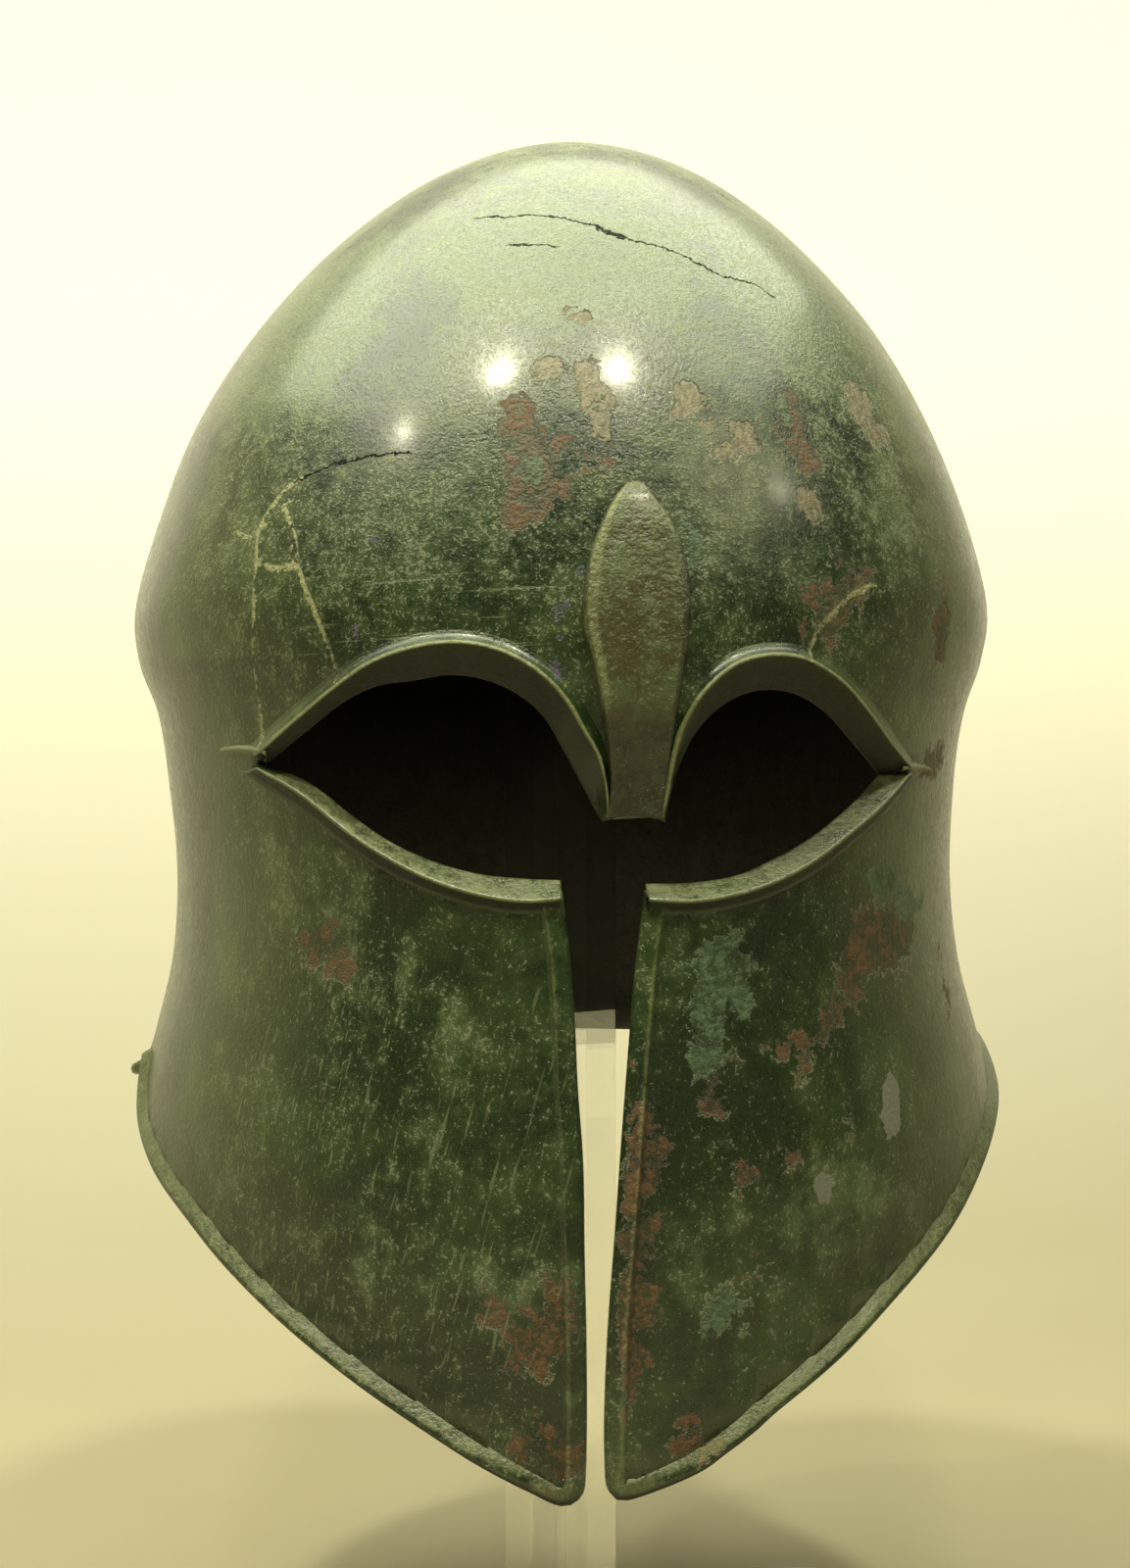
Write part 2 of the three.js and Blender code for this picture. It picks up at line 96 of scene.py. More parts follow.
# %% Sections
SECTIONS = np.array([
    # z, half, front, back, full, shift
    (-14, 98.5, 122.0, 150, 1.80, 1.8),
    (30, 99.0, 121.5, 150, 1.80, 1.8),
    (60, 99.0, 120.5, 144, 1.80, 1.7),
    (80, 96.0, 119.0, 131, 1.82, 1.3),
    (100, 91.2, 117.5, 116, 1.85, 0.7),
    (120, 89.7, 116.5, 106, 1.90, 0.1),
    (140, 90.9, 117.0, 104, 1.95, -0.4),
    (155, 93.1, 118.0, 107, 2.00, -0.5),
    (167, 97.3, 118.5, 113, 2.00, -0.6),
    (180, 98.3, 117.5, 118, 2.03, -0.4),
    (200, 92.8, 113.0, 118, 2.05, -0.3),
    (220, 84.9, 105.0, 113, 2.05, -0.4),
    (240, 73.3, 92.0, 102, 2.03, 0.2),
    (258, 58.4, 75.5, 86, 2.00, 0.6),
    (272, 42.3, 56.0, 67, 2.00, 1.2),
    (280.5, 28.0, 38.0, 47, 2.00, 1.4),
    (285.6, 15.0, 20.5, 26, 2.00, 1.3),
    (287.5, 7.0, 9.0, 11, 2.00, 1.2),
    (288, 0.05, 0.05, 0.05, 2.00, 1.2),
])


def table_at(table, u):
    """A smooth curve through a table's rows, read at u rows from the top."""
    table = np.asarray(table, float)
    u = np.clip(np.asarray(u, float), 0, len(table) - 1 - 1e-9)
    k = u.astype(int)
    t = (u - k)[..., None]
    padded = np.vstack([2 * table[0] - table[1], table, 2 * table[-1] - table[-2]])
    a, b, c, d = padded[k], padded[k + 1], padded[k + 2], padded[k + 3]
    bend = 2 * a - 5 * b + 4 * c - d
    twist = -a + 3 * b - 3 * c + d
    return 0.5 * (2 * b + (c - a) * t + bend * t**2 + twist * t**3)


FINE = table_at(SECTIONS, np.linspace(0, len(SECTIONS) - 1, 3000))


def uneven(x, y, z):
    """Slow hollows and swells left by the hammer, in millimetres."""
    slow = np.sin(x / 15.1 + z / 37 + 1.1) * np.sin(z / 18.7 - x / 51 + 0.4)
    quick = np.sin(x / 7.9 - z / 12.3 + 2.0) * np.sin(z / 8.3 + y / 14.1 + 1.0)
    return 0.16 * slow + 0.05 * quick


def bare_skin(angle, z):
    z, half, front, back, full, shift = [np.interp(z, FINE[:, 0], FINE[:, k]) for k in range(6)]
    face = np.cos(angle) >= 0
    reach = np.where(face, front, back)
    power = np.where(face, full, 2.0)
    r = (np.abs(np.sin(angle) / half) ** power + np.abs(np.cos(angle) / reach) ** power) ** (-1 / power)
    return np.stack([shift + r * np.sin(angle), -r * np.cos(angle), z], -1)


def skin_normal(angle, z):
    round_ = bare_skin(angle + 0.01, z) - bare_skin(angle - 0.01, z)
    up = bare_skin(angle, np.minimum(z + 0.4, 287.99)) - bare_skin(angle, z - 0.4)
    n = np.cross(round_, up)
    return n / np.linalg.norm(n, axis=-1, keepdims=True)


def skin(angle, z, lift=0.0):
    """Point on the outer face of the sheet, raised by lift along its normal."""
    angle, z = np.broadcast_arrays(np.asarray(angle, float), np.asarray(z, float))
    p = bare_skin(angle, z)
    high = np.asarray(lift) + uneven(p[..., 0], p[..., 1], p[..., 2])
    return p + skin_normal(angle, z) * high[..., None]


def face_angle(x, z):
    """Angle of the skin point that a look straight at the face meets at (x, z)."""
    half, front, full, shift = [np.interp(z, FINE[:, 0], FINE[:, k]) for k in (1, 2, 4, 5)]
    side = np.minimum(np.abs(x - shift) / half, 0.999)
    y = front * (1 - side**full) ** (1 / full)
    return np.arctan2(x - shift, y)


def seen(x, z, lift):
    """Point off the skin by lift that shows at (x, z) in a look straight at the face."""
    x, z, lift = [np.array(v, float) for v in np.broadcast_arrays(x, z, lift)]
    foot_x, foot_z = x.copy(), z.copy()
    for _ in range(4):
        p = skin(face_angle(foot_x, foot_z), foot_z, lift)
        foot_x += x - p[..., 0]
        foot_z += z - p[..., 2]
    return skin(face_angle(foot_x, foot_z), foot_z, lift)


# %% [markdown]
# ## Outlines of the openings
# Each eye is an almond with a raised rim. The crest is the high line of the rim and the lip
# the edge of the opening, and the strip between them slopes inwards. The two sides differ,
# as the photo shows. Below the nasal a slot parts the cheekpieces and closes towards the tips.

# %% Outlines
RIMS = {  # crest x, crest z, lip x, lip z, from the outer corner inwards
    "upper_left": [
        (-69.5, 144.6, -67.6, 143.0), (-61.3, 151.5, -59.4, 149.4), (-54.0, 157.4, -51.5, 155.4),
        (-46.8, 162.3, -44.8, 158.4), (-39.3, 165.0, -38.0, 159.3), (-31.1, 166.1, -31.0, 160.3),
        (-22.9, 164.8, -24.2, 159.2), (-15.5, 161.0, -18.3, 156.5), (-9.8, 155.6, -13.2, 152.1),
        (-5.6, 148.8, -9.0, 145.0), (-2.9, 144.0, -5.8, 139.0), (-1.5, 138.5, -3.4, 134.4),
        (-0.9, 132.0, -1.9, 131.7)],
    "lower_left": [
        (-69.5, 142.4, -67.6, 143.0), (-60.0, 136.8, -58.4, 139.2), (-51.0, 129.6, -49.6, 132.4),
        (-42.6, 124.2, -41.8, 127.2), (-34.2, 120.2, -33.6, 123.6), (-25.5, 117.6, -25.3, 121.4),
        (-17.5, 116.5, -17.2, 120.6), (-9.9, 116.9, -9.8, 120.3)],
    "upper_right": [
        (66.0, 142.3, 58.8, 141.1), (60.2, 147.0, 55.4, 144.2), (54.0, 153.2, 50.6, 148.4),
        (47.3, 159.1, 44.6, 153.5), (39.3, 163.2, 38.0, 156.8), (31.5, 163.9, 31.6, 157.6),
        (24.2, 161.9, 25.8, 156.3), (18.0, 156.8, 20.6, 153.1), (14.0, 150.7, 16.6, 148.8),
        (12.0, 144.5, 13.8, 143.6), (10.8, 138.0, 12.0, 138.2), (9.6, 132.0, 10.6, 131.5)],
    "lower_right": [
        (66.0, 141.2, 58.8, 141.1), (57.8, 134.2, 53.9, 136.5), (50.6, 129.3, 47.6, 131.8),
        (42.6, 124.2, 40.6, 127.4), (34.8, 120.5, 33.4, 124.0), (26.4, 117.9, 25.5, 121.0),
        (16.5, 116.4, 16.0, 119.7), (7.0, 116.7, 6.8, 119.6)],
}
SLOT = np.array([  # z, left, right
    (119, -9.8, 6.7), (105, -8.3, 4.9), (92, -7.5, 3.6), (80, -7.0, 2.5), (66, -6.1, 1.3),
    (50, -5.9, 0.0), (34, -5.6, -1.3), (18, -5.5, -2.0), (7, -5.7, -1.9), (3, -6.5, -1.0),
    (1, -8.2, 0.6)])
HEM = np.array([  # degrees round from the face, height of the lower edge
    (-180, 70), (-140, 70), (-110, 70), (-97, 70.5), (-93, 75), (-90, 77), (-87, 75),
    (-81, 63.5), (-70, 55), (-57, 46.7), (-48, 39.5), (-36, 29.2), (-27, 21), (-19, 13.5),
    (-12.5, 6.8), (-8, 2.4), (-5.5, 1.2), (-3.5, 3), (0, 4), (1.5, 2.6),
    (3.7, 3.4), (6.2, 6), (9, 9.4), (12, 13), (15, 16.9), (22.3, 24.6), (31, 34.2),
    (44, 46.2), (54, 55.4), (64, 62.8), (75, 69), (84, 75.5), (88, 78), (92, 76),
    (96, 71), (110, 70), (140, 70), (180, 70)], float)


def rim_rows(key, count):
    rows = RIMS[key]
    return table_at(rows, np.linspace(0, len(rows) - 1, count))


def hem_z(angle):
    return np.interp(np.degrees(angle), HEM[:, 0], HEM[:, 1])


def face_outline():
    """Both eyes and the slot as one closed outline, seen from the front."""
    tuck = np.where(SLOT[:, 0] > 110, 0.0, 0.8)
    right = np.stack([SLOT[:, 2] + tuck, SLOT[:, 0]], -1)
    left = np.stack([SLOT[:, 1] - tuck, SLOT[:, 0]], -1)
    parts = [
        rim_rows("lower_left", 60)[::-1, :2], rim_rows("upper_left", 90)[:, :2],
        [(1.5, 132.6), (4.3, 132.9), (7.2, 132.6)],
        rim_rows("upper_right", 90)[::-1, :2], rim_rows("lower_right", 60)[:, :2],
        right, [(6, -1), (14, -30), (-24, -30), (-13, -0.6)], left[::-1]]
    return np.vstack([np.asarray(p, float) for p in parts])


OUTLINE = face_outline()
print("outline of the openings:", len(OUTLINE), "points")

# %% [markdown]
# ## Helpers for bent sheets
# A grid is laid out flat and each of its points is carried to its place, the way a sheet is
# bent over a stake. Where the two edges meet they are welded, and open ends are closed.

# %% Sheet helpers
def to_metres(p):
    return (np.asarray(p) + (0, 0, TIP_Z)) * MM


def bent_grid(nu, nv, place):
    """A grid of nu by nv cells, bent by place(u, v) with u and v from 0 to 1."""
    bm = bmesh.new()
    bmesh.ops.create_grid(bm, x_segments=nu, y_segments=nv, size=1)
    uv = np.array([v.co[:2] for v in bm.verts]) * 0.5 + 0.5
    for vert, p in zip(bm.verts, to_metres(place(uv[:, 0], uv[:, 1]))):
        vert.co = p
    return bm


def close_up(bm):
    bmesh.ops.remove_doubles(bm, verts=bm.verts, dist=2e-6)
    bmesh.ops.dissolve_degenerate(bm, edges=bm.edges, dist=1e-6)
    loose = [e for e in bm.edges if e.is_boundary]
    if loose:
        bmesh.ops.holes_fill(bm, edges=loose, sides=0)
    bmesh.ops.recalc_face_normals(bm, faces=bm.faces)


def as_object(bm, name, material, smooth=True):
    mesh = bpy.data.meshes.new(name)
    for face in bm.faces:
        face.smooth = smooth
    bm.to_mesh(mesh)
    bm.free()
    mesh.materials.append(material)
    mesh.calc_loop_triangles()
    print(name, len(mesh.loop_triangles), "triangles")
    return show(bpy.data.objects.new(name, mesh))


def as_piece(bm, name, material, replaces, smooth=True):
    piece = as_object(bm, name, material, smooth)
    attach(piece, "root")
    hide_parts(replaces)
    return piece


def inside(points, outline):
    """Which points lie inside a closed outline, by counting the edges they pass."""
    x, y = points[:, 0], points[:, 1]
    odd = np.zeros(len(points), bool)
    for (x0, y0), (x1, y1) in zip(outline, np.roll(outline, -1, 0)):
        if y0 != y1:
            odd ^= ((y0 > y) != (y1 > y)) & (x < (x1 - x0) * (y - y0) / (y1 - y0) + x0)
    return odd


def nearest_on(points, outline):
    a, b = outline, np.roll(outline, -1, 0)
    run = b - a
    t = ((points[:, None] - a) * run).sum(-1) / np.maximum((run**2).sum(-1), 1e-9)
    spots = a + np.clip(t, 0, 1)[..., None] * run
    away = np.linalg.norm(points[:, None] - spots, axis=-1)
    best = away.argmin(1)
    return spots[np.arange(len(points)), best], away.min(1)


# %% [markdown]
# ## A small language for shaders
# Socket arithmetic is written as plain sums. One class wraps a socket, and one builder adds
# any node from its type, its settings and its inputs.

# %% Shader helpers
class Field:
    def __init__(self, tree, socket):
        self.tree = tree
        self.socket = socket

    def _math(self, operation, *others):
        node = self.tree.nodes.new("ShaderNodeMath")
        node.operation = operation
        for slot, value in zip(node.inputs, (self, *others)):
            if isinstance(value, Field):
                self.tree.links.new(value.socket, slot)
            else:
                slot.default_value = value
        return Field(self.tree, node.outputs[0])

    def __add__(self, other):
        return self._math("ADD", other)

    def __sub__(self, other):
        return self._math("SUBTRACT", other)

    def __rsub__(self, other):
        return self * -1.0 + other

    def __mul__(self, other):
        return self._math("MULTIPLY", other)

    __radd__ = __add__
    __rmul__ = __mul__

    def abs(self):
        return self._math("ABSOLUTE")

    def least(self, other):
        return self._math("MINIMUM", other)

    def most(self, other):
        return self._math("MAXIMUM", other)


class Shader:
    def __init__(self, name):
        self.material = bpy.data.materials.new(name)
        self.material.use_nodes = True
        self.tree = self.material.node_tree
        self.bsdf = self.tree.nodes["Principled BSDF"]
        self.place = Field(self.tree, self.node("ShaderNodeTexCoord").outputs["Object"])

    def put(self, value, socket):
        if isinstance(value, Field):
            self.tree.links.new(value.socket, socket)
        elif isinstance(value, tuple) and len(value) == 3 and socket.type == "RGBA":
            socket.default_value = (*value, 1)
        else:
            socket.default_value = value

    def node(self, kind, settings=None, **inputs):
        node = self.tree.nodes.new(kind)
        for key, value in (settings or {}).items():
            setattr(node, key, value)
        for key, value in inputs.items():
            named = [s for s in node.inputs if s.name.replace(" ", "") == key and s.enabled]
            self.put(value, named[0])
        return node

    def noise(self, size_mm, detail=3.0, rough=0.55, stretch=(1, 1, 1), seed=0.0, twist=0.0):
        """Noise around zero with a spread of about 1 and features of that size."""
        offset = (seed * 0.137, seed * 0.311, seed * 0.071)
        place = self.place
        if twist:
            turned = self.node("ShaderNodeMapping", Vector=place, Rotation=(0.0, twist, 0.0))
            place = Field(self.tree, turned.outputs[0])
        moved = self.node("ShaderNodeMapping", Vector=place, Location=offset, Scale=stretch)
        texture = self.node("ShaderNodeTexNoise", Vector=Field(self.tree, moved.outputs[0]),
                            Scale=1 / (size_mm * MM), Detail=detail, Roughness=rough)
        return (Field(self.tree, texture.outputs["Fac"]) - 0.5) * 13.0

    def attribute(self, name):
        node = self.node("ShaderNodeAttribute", {"attribute_name": name})
        return Field(self.tree, node.outputs["Fac"])

    def step(self, value, low, high):
        """0 below low, 1 above high, smooth between."""
        node = self.node("ShaderNodeMapRange", {"interpolation_type": "SMOOTHSTEP"},
                         Value=value, FromMin=low, FromMax=high)
        return Field(self.tree, node.outputs["Result"])

    def mix(self, factor, a, b, mode="MIX"):
        node = self.node("ShaderNodeMix", {"data_type": "RGBA", "blend_type": mode})
        self.put(factor, node.inputs[0])
        self.put(a, node.inputs[6])
        self.put(b, node.inputs[7])
        return Field(self.tree, node.outputs[2])

    def bump(self, height_mm, normal=None, strength=1.0):
        node = self.node("ShaderNodeBump", Height=height_mm * MM, Strength=strength, Distance=1.0)
        if normal:
            self.put(normal, node.inputs["Normal"])
        return Field(self.tree, node.outputs[0])

    def set(self, **inputs):
        for key, value in inputs.items():
            socket = [s for s in self.bsdf.inputs if s.name.replace(" ", "") == key][0]
            self.put(value, socket)


# %% [markdown]
# ## The patina
# Buried bronze grows a dark green skin, here cleaned and waxed so that it is smooth and half
# glossy. Pale specks of carbonate lie in it, thick on the crown. Where the skin has flaked off
# the tan and red-brown layers under it show, and turquoise crust has grown in places. Masks
# carried by the mesh say where each kind lies, and noise breaks up their edges.
# Some masks also paint light and shade into the colour: paler highlights on upward faces and lit borders,
# shadow lines at flake borders, and near-black shade inside and in the cracks.

# %% Patina material
def patina():
    s = Shader("patinated_bronze")
    broad = s.noise(46, 2.0, seed=1)
    cloud = s.noise(15, 3.0, 0.6, seed=2)
    grain = s.noise(4.2, 4.0, 0.6, seed=3)
    fine = s.noise(1.15, 3.0, 0.6, seed=4)
    grit = s.noise(0.5, 2.0, 0.6, seed=5)
    pale = s.attribute("pale")
    fleck = s.attribute("fleck")

    # the dark green skin and the pale carbonate in it
    tone = s.step(cloud * 0.7 + grain * 0.35 + broad * 0.5, -1.5, 1.7)
    colour = s.mix(tone, (0.0050, 0.0150, 0.0024), (0.0205, 0.0425, 0.0082))
    olive = s.step(fleck + grain * 0.45 + cloud * 0.35 + fine * 0.15, -0.6, 1.6)
    colour = s.mix(olive * 0.62, colour, (0.060, 0.080, 0.029))
    haze = s.step(pale + cloud * 1.5 + grain * 1.0, -1.0, 7.0)
    colour = s.mix(haze * 0.52, colour, (0.100, 0.144, 0.060))
    near_pale = s.step(pale + grain * 1.5, -2.0, 3.0) * 0.5
    smooth_part = s.attribute("edge") + s.attribute("rim") * 0.5
    spread = (fine * 0.75 + grit * 0.75 + grain * 0.22 + cloud * 0.28 + fleck * 0.8 + near_pale
              - smooth_part)
    specks = s.step(spread, 1.1, 2.0)
    speck_colour = s.mix(s.step(grit + grain, -1.5, 1.5), (0.080, 0.098, 0.046), (0.180, 0.205, 0.116))
    colour = s.mix(specks * 0.62, colour, speck_colour)
    pits = s.step(-1.0 * (grit * 0.6 + fine * 0.6 + grain * 0.3), 1.7, 2.3)
    colour = s.mix(pits * 0.6, colour, (0.007, 0.010, 0.005))

    # where the skin has flaked off
    ragged = cloud * 0.45 + grain * 0.5 + fine * 0.22
    tan_in = s.attribute("tan") + ragged
    tan = s.step(tan_in, -0.10, 0.10)
    comb_lines = s.noise(0.9, 2.0, 0.5, (1.0, 1.0, 0.12), 14)
    tan_colour = s.mix(s.step(fine * 0.6 + comb_lines * 0.6 + grain * 0.4, -1.6, 1.6),
                       (0.100, 0.088, 0.050), (0.200, 0.178, 0.112))
    colour = s.mix(tan * 0.92, colour, tan_colour)
    rust_in = s.attribute("rust") + cloud * 0.8 + grain * 0.9 + fine * 0.4
    rust = s.step(rust_in, -0.25, 0.35)
    rust_colour = s.mix(s.step(grain * 0.7 + fine * 0.6, -1.3, 1.6),
                        (0.028, 0.0165, 0.0062), (0.100, 0.046, 0.0150))
    thin = s.step(fine * 0.5 + grain * 0.6 + grit * 0.3, -1.6, 0.7)
    colour = s.mix(rust * thin * 0.86, colour, rust_colour)
    turq_in = s.attribute("turq") + cloud * 0.8 + grain * 0.8 + fine * 0.35
    turq = s.step(turq_in, -0.3, 0.5)
    turq_colour = s.mix(s.step(fine * 0.7 + grain * 0.6, -1.5, 1.6),
                        (0.018, 0.042, 0.018), (0.066, 0.122, 0.060))
    colour = s.mix(turq * s.step(fine * 0.5 + grain, -2.0, 0.0) * 0.8, colour, turq_colour)
    # pale crust round the flakes, drawn only on their lower borders, so it is partly real crust and partly
    # painted highlight
    crust = s.step((tan_in.most(rust_in).most(turq_in) + 0.30).abs(), 0.42, 0.12)
    lee = s.attribute("lee")
    lit_crust = s.step(lee + grain * 0.25, -0.2, 0.4) * s.step(fine + grit * 0.6, -1.2, 0.6)
    colour = s.mix(crust * lit_crust * 0.6, colour, (0.22, 0.235, 0.13))
    # painted shadow: a dark line on the upper borders of the flakes
    shadow_ditch = s.step((tan_in.most(rust_in) + 0.02).abs(), 0.24, 0.08)
    shadow_ditch = shadow_ditch * s.step(grain * 0.25 - lee, 0.0, 0.35)
    colour = s.mix(shadow_ditch * 0.75, colour, (0.012, 0.012, 0.006))
    fill = s.step(s.attribute("grey") + grain * 0.35, -0.08, 0.08)
    colour = s.mix(fill, colour, (0.150, 0.160, 0.128))
    violet = s.step(s.attribute("violet") + grit * 0.25 + fine * 0.2, -0.1, 0.15)
    colour = s.mix(violet * 0.85, colour, (0.075, 0.070, 0.120))

    # scratches
    slanted = s.noise(0.8, 1.0, 0.5, (1.0, 1.0, 0.02), 11, twist=-0.30)
    slanted = s.step(slanted, 1.9, 2.7) * s.step(s.attribute("scratch") + cloud * 0.3, 0.3, 1.0)
    level = s.noise(0.9, 1.0, 0.5, (0.035, 0.035, 1.0), 12, twist=0.05)
    level = s.step(level, 1.9, 2.6) * s.step(s.attribute("comb") + cloud * 0.2, 0.3, 0.9)
    colour = s.mix(slanted.most(level) * 0.5, colour, (0.15, 0.18, 0.10))

    # seams, and cracks painted near-black as the shade in the open gap
    wander = fine * 0.14 + grain * 0.20
    seam_wide = grain * 0.12 + 0.42
    seam = s.step(s.attribute("seam_near"), 0.4, 0.75) * s.step(
        (s.attribute("seam_side") + wander).abs() - seam_wide, 0.25, -0.15)
    halo = s.step(s.attribute("seam_near"), 0.1, 0.8) * s.step(grain + fine, -1.0, 1.5)
    colour = s.mix(halo * 0.30, colour, (0.120, 0.135, 0.060))
    seam_shown = seam * s.step(fine * 0.6 + grain * 0.6, -1.5, 0.2)
    colour = s.mix(seam_shown * 0.9, colour, (0.26, 0.27, 0.125))
    crack = s.step(s.attribute("crack_near"), 0.4, 0.75) * s.step(
        (s.attribute("crack_side") + wander).abs() - 0.20, 0.14, -0.06)
    # painted shade: the open cracks are painted near-black
    colour = s.mix(crack * 0.95, colour, (0.006, 0.008, 0.004))

    # worn edges with painted highlight, the leaf with its painted shade, and the inside painted dark as
    # shade
    leaf = s.attribute("boss")
    leaf_tone = grain * 0.7 + fine * 0.45 + cloud * 0.3 - s.attribute("leaf_brown") * 1.2
    leaf_tone = s.step(leaf_tone, -1.5, 1.3)
    leaf_colour = s.mix(leaf_tone, (0.059, 0.052, 0.0150), (0.072, 0.097, 0.032))
    colour = s.mix(leaf * 0.72, colour, leaf_colour)
    # paler line: worn metal on crests, plus painted highlight on upward faces and the leaf's lit borders
    wear_and_highlight = s.step(s.attribute("edge") + fine * 0.05 + grain * 0.05, 0.05, 1.0)
    colour = s.mix(wear_and_highlight * 0.8, colour, (0.185, 0.205, 0.090))
    # the lower nasal's own darker tone together with painted shade, and painted shade on the leaf's right
    # slope
    soot = s.attribute("soot")
    leaf_dark_and_shade_colour = s.mix(s.step(grain, -1, 1), (0.009, 0.008, 0.0035), (0.024, 0.019, 0.008))
    colour = s.mix(soot * 0.8, colour, leaf_dark_and_shade_colour)
    # painted shade: faces that look into the helmet or down from a rim are painted nearly black
    lining = s.attribute("lining")
    colour = s.mix(lining, colour, (0.0024, 0.0027, 0.0015))

    matt = tan.most(rust).most(turq).most(fill)
    rough = (matt * 0.22 + specks * 0.12 + fine * 0.03 + grain * 0.03 + seam * 0.25 + leaf * 0.1
             + wear_and_highlight * 0.16 + lining * 0.4 + crack * 0.4 + 0.35)
    s.set(BaseColor=colour, Roughness=rough.least(0.85).most(0.2), IOR=1.55, CoatRoughness=0.19,
          Metallic=crack * 0.95)
    dull = matt * 0.35 + specks * 0.2 + leaf * 0.3 + wear_and_highlight * 0.4 + lining * 0.5 + crack
    s.set(CoatWeight=(0.42 - dull).most(0.0))
    height = (grain * 0.009 + fine * 0.012 + grit * 0.008 + specks * 0.085 - pits * 0.07
              - tan * 0.55 + fill * 0.06 + violet * 0.08
              + rust * (grain * 0.02 + fine * 0.02 - 0.22)
              + turq * (fine * 0.02 + grain * 0.015 + 0.14) + crust * lit_crust * 0.16 - shadow_ditch * 0.2
              + seam * (fine * 0.05 + 0.10) - crack * 0.6 - slanted * 0.03 - level * 0.03
              + leaf * (cloud * 0.06 + grain * 0.028 + fine * 0.020) + wear_and_highlight * fine * 0.02)
    s.set(Normal=s.bump(height))
    return s.material


BRONZE = patina()

# %% [markdown]
# ## The beaten sheet
# One sheet, bent round the head and closed at the back of the crown, with the eye openings and
# the slot cut out and the lower edge trimmed. It is given its thickness last. The cells are
# finer at the face, where the photo looks.

# %% Sheet
def as_bronze(bm, name):
    return as_piece(bm, name, BRONZE, "helmet_shell")


def turn_of(u):
    """Angle round the head. Two thirds of the cells lie in the front half."""
    w = 2 * u - 1
    return math.pi * (0.62 * w + 0.38 * w**3)


def hem_flare(angle, z):
    above = np.maximum(z - hem_z(angle), 0)
    cheek = np.clip((95 - np.abs(np.degrees(angle))) / 8, 0, 1)
    return 1.1 * cheek * np.exp(-above / 3.5)


def helmet_sheet():
    def place(u, v):
        row = (len(SECTIONS) - 1) * v**0.9
        z = np.interp(row, np.linspace(0, len(SECTIONS) - 1, 3000), FINE[:, 0])
        angle = turn_of(u)
        return skin(angle, z, hem_flare(angle, z))

    bm = bent_grid(310, 140, place)
    top = [v for v in bm.verts if v.co.z > (TIP_Z + 287.985) * MM]
    bmesh.ops.pointmerge(bm, verts=top, merge_co=Vector(to_metres((1.2, 0, 288))))
    bmesh.ops.remove_doubles(bm, verts=bm.verts, dist=2e-6)
    centres = np.array([f.calc_center_median() for f in bm.faces]) / MM - (0, 0, TIP_Z)
    turn = np.arctan2(centres[:, 0] - 1, -centres[:, 1])
    cut = inside(centres[:, [0, 2]], OUTLINE) & (centres[:, 1] < -20)
    cut |= centres[:, 2] < hem_z(turn) + 0.6
    bmesh.ops.delete(bm, geom=[f for f, gone in zip(bm.faces, cut) if gone], context="FACES")
    rim = [v for v in bm.verts if v.is_boundary]
    at = np.array([v.co for v in rim]) / MM - (0, 0, TIP_Z)
    spots, away = nearest_on(at[:, [0, 2]], OUTLINE)
    for vert, p, spot, far in zip(rim, at, spots, away):
        angle = math.atan2(p[0] - 1, -p[1])
        if p[1] < -20 and far < 2.6:
            new = seen(spot[0], spot[1], 0.0)
        else:
            z = hem_z(angle) + 0.9
            new = skin(angle, z, hem_flare(angle, z))
        vert.co = to_metres(new)
    bmesh.ops.dissolve_degenerate(bm, edges=bm.edges, dist=2e-5)
    bmesh.ops.recalc_face_normals(bm, faces=bm.faces)
    up = max(bm.faces, key=lambda f: f.calc_center_median().z)
    if up.normal.z < 0:
        bmesh.ops.reverse_faces(bm, faces=bm.faces)
    bmesh.ops.solidify(bm, geom=bm.faces[:], thickness=WALL * MM)
    bmesh.ops.recalc_face_normals(bm, faces=bm.faces)
    return as_bronze(bm, "helmet_sheet")


bronze = [helmet_sheet()]

# %% [markdown]
# ## Eye rims
# Each rim is a strip that rises out of the sheet, turns over a narrow crest and slopes in to
# the lip. Its outer foot runs out softly into the sheet, as worked metal does.

# %% Eye rims
CREST = 2.4


def swept(name, count, n, spot):
    """A closed strip of count lengths whose section has n points, each at spot(ring, point)."""
    def place(u, v):
        return spot(np.rint(u * count).astype(int), np.rint(v * n).astype(int) % n)

    bm = bent_grid(count, n, place)
    close_up(bm)
    return as_bronze(bm, name)


def rim_profile(wide, crest, depth):
    """Points round the strip: millimetres towards the lip, and lift off the sheet."""
    high = crest / CREST
    return [
        (-3.6, -0.50), (-3.0, -0.04), (-2.4, 0.10), (-1.9, 0.32), (-1.5, 0.68 * high), (-1.2, 1.15 * high),
        (-0.9, 1.7 * high), (-0.6, crest - 0.22), (-0.25, crest), (0.1, crest - 0.05),
        (0.4, crest - 0.4), (0.5 * wide + 0.2, 0.5 * (crest - depth) - 0.1),
        (wide - 0.5, 0.3 - depth), (wide - 0.12, -depth - 0.05), (wide, -depth - 0.5),
        (wide - 0.15, -depth - 1.0), (wide - 0.8, -depth - 1.3), (0.35 * wide, -0.5 * depth - 1.9),
        (-1.5, -WALL - 0.5), (-3.0, -WALL - 0.1), (-3.6, -WALL + 0.2)]


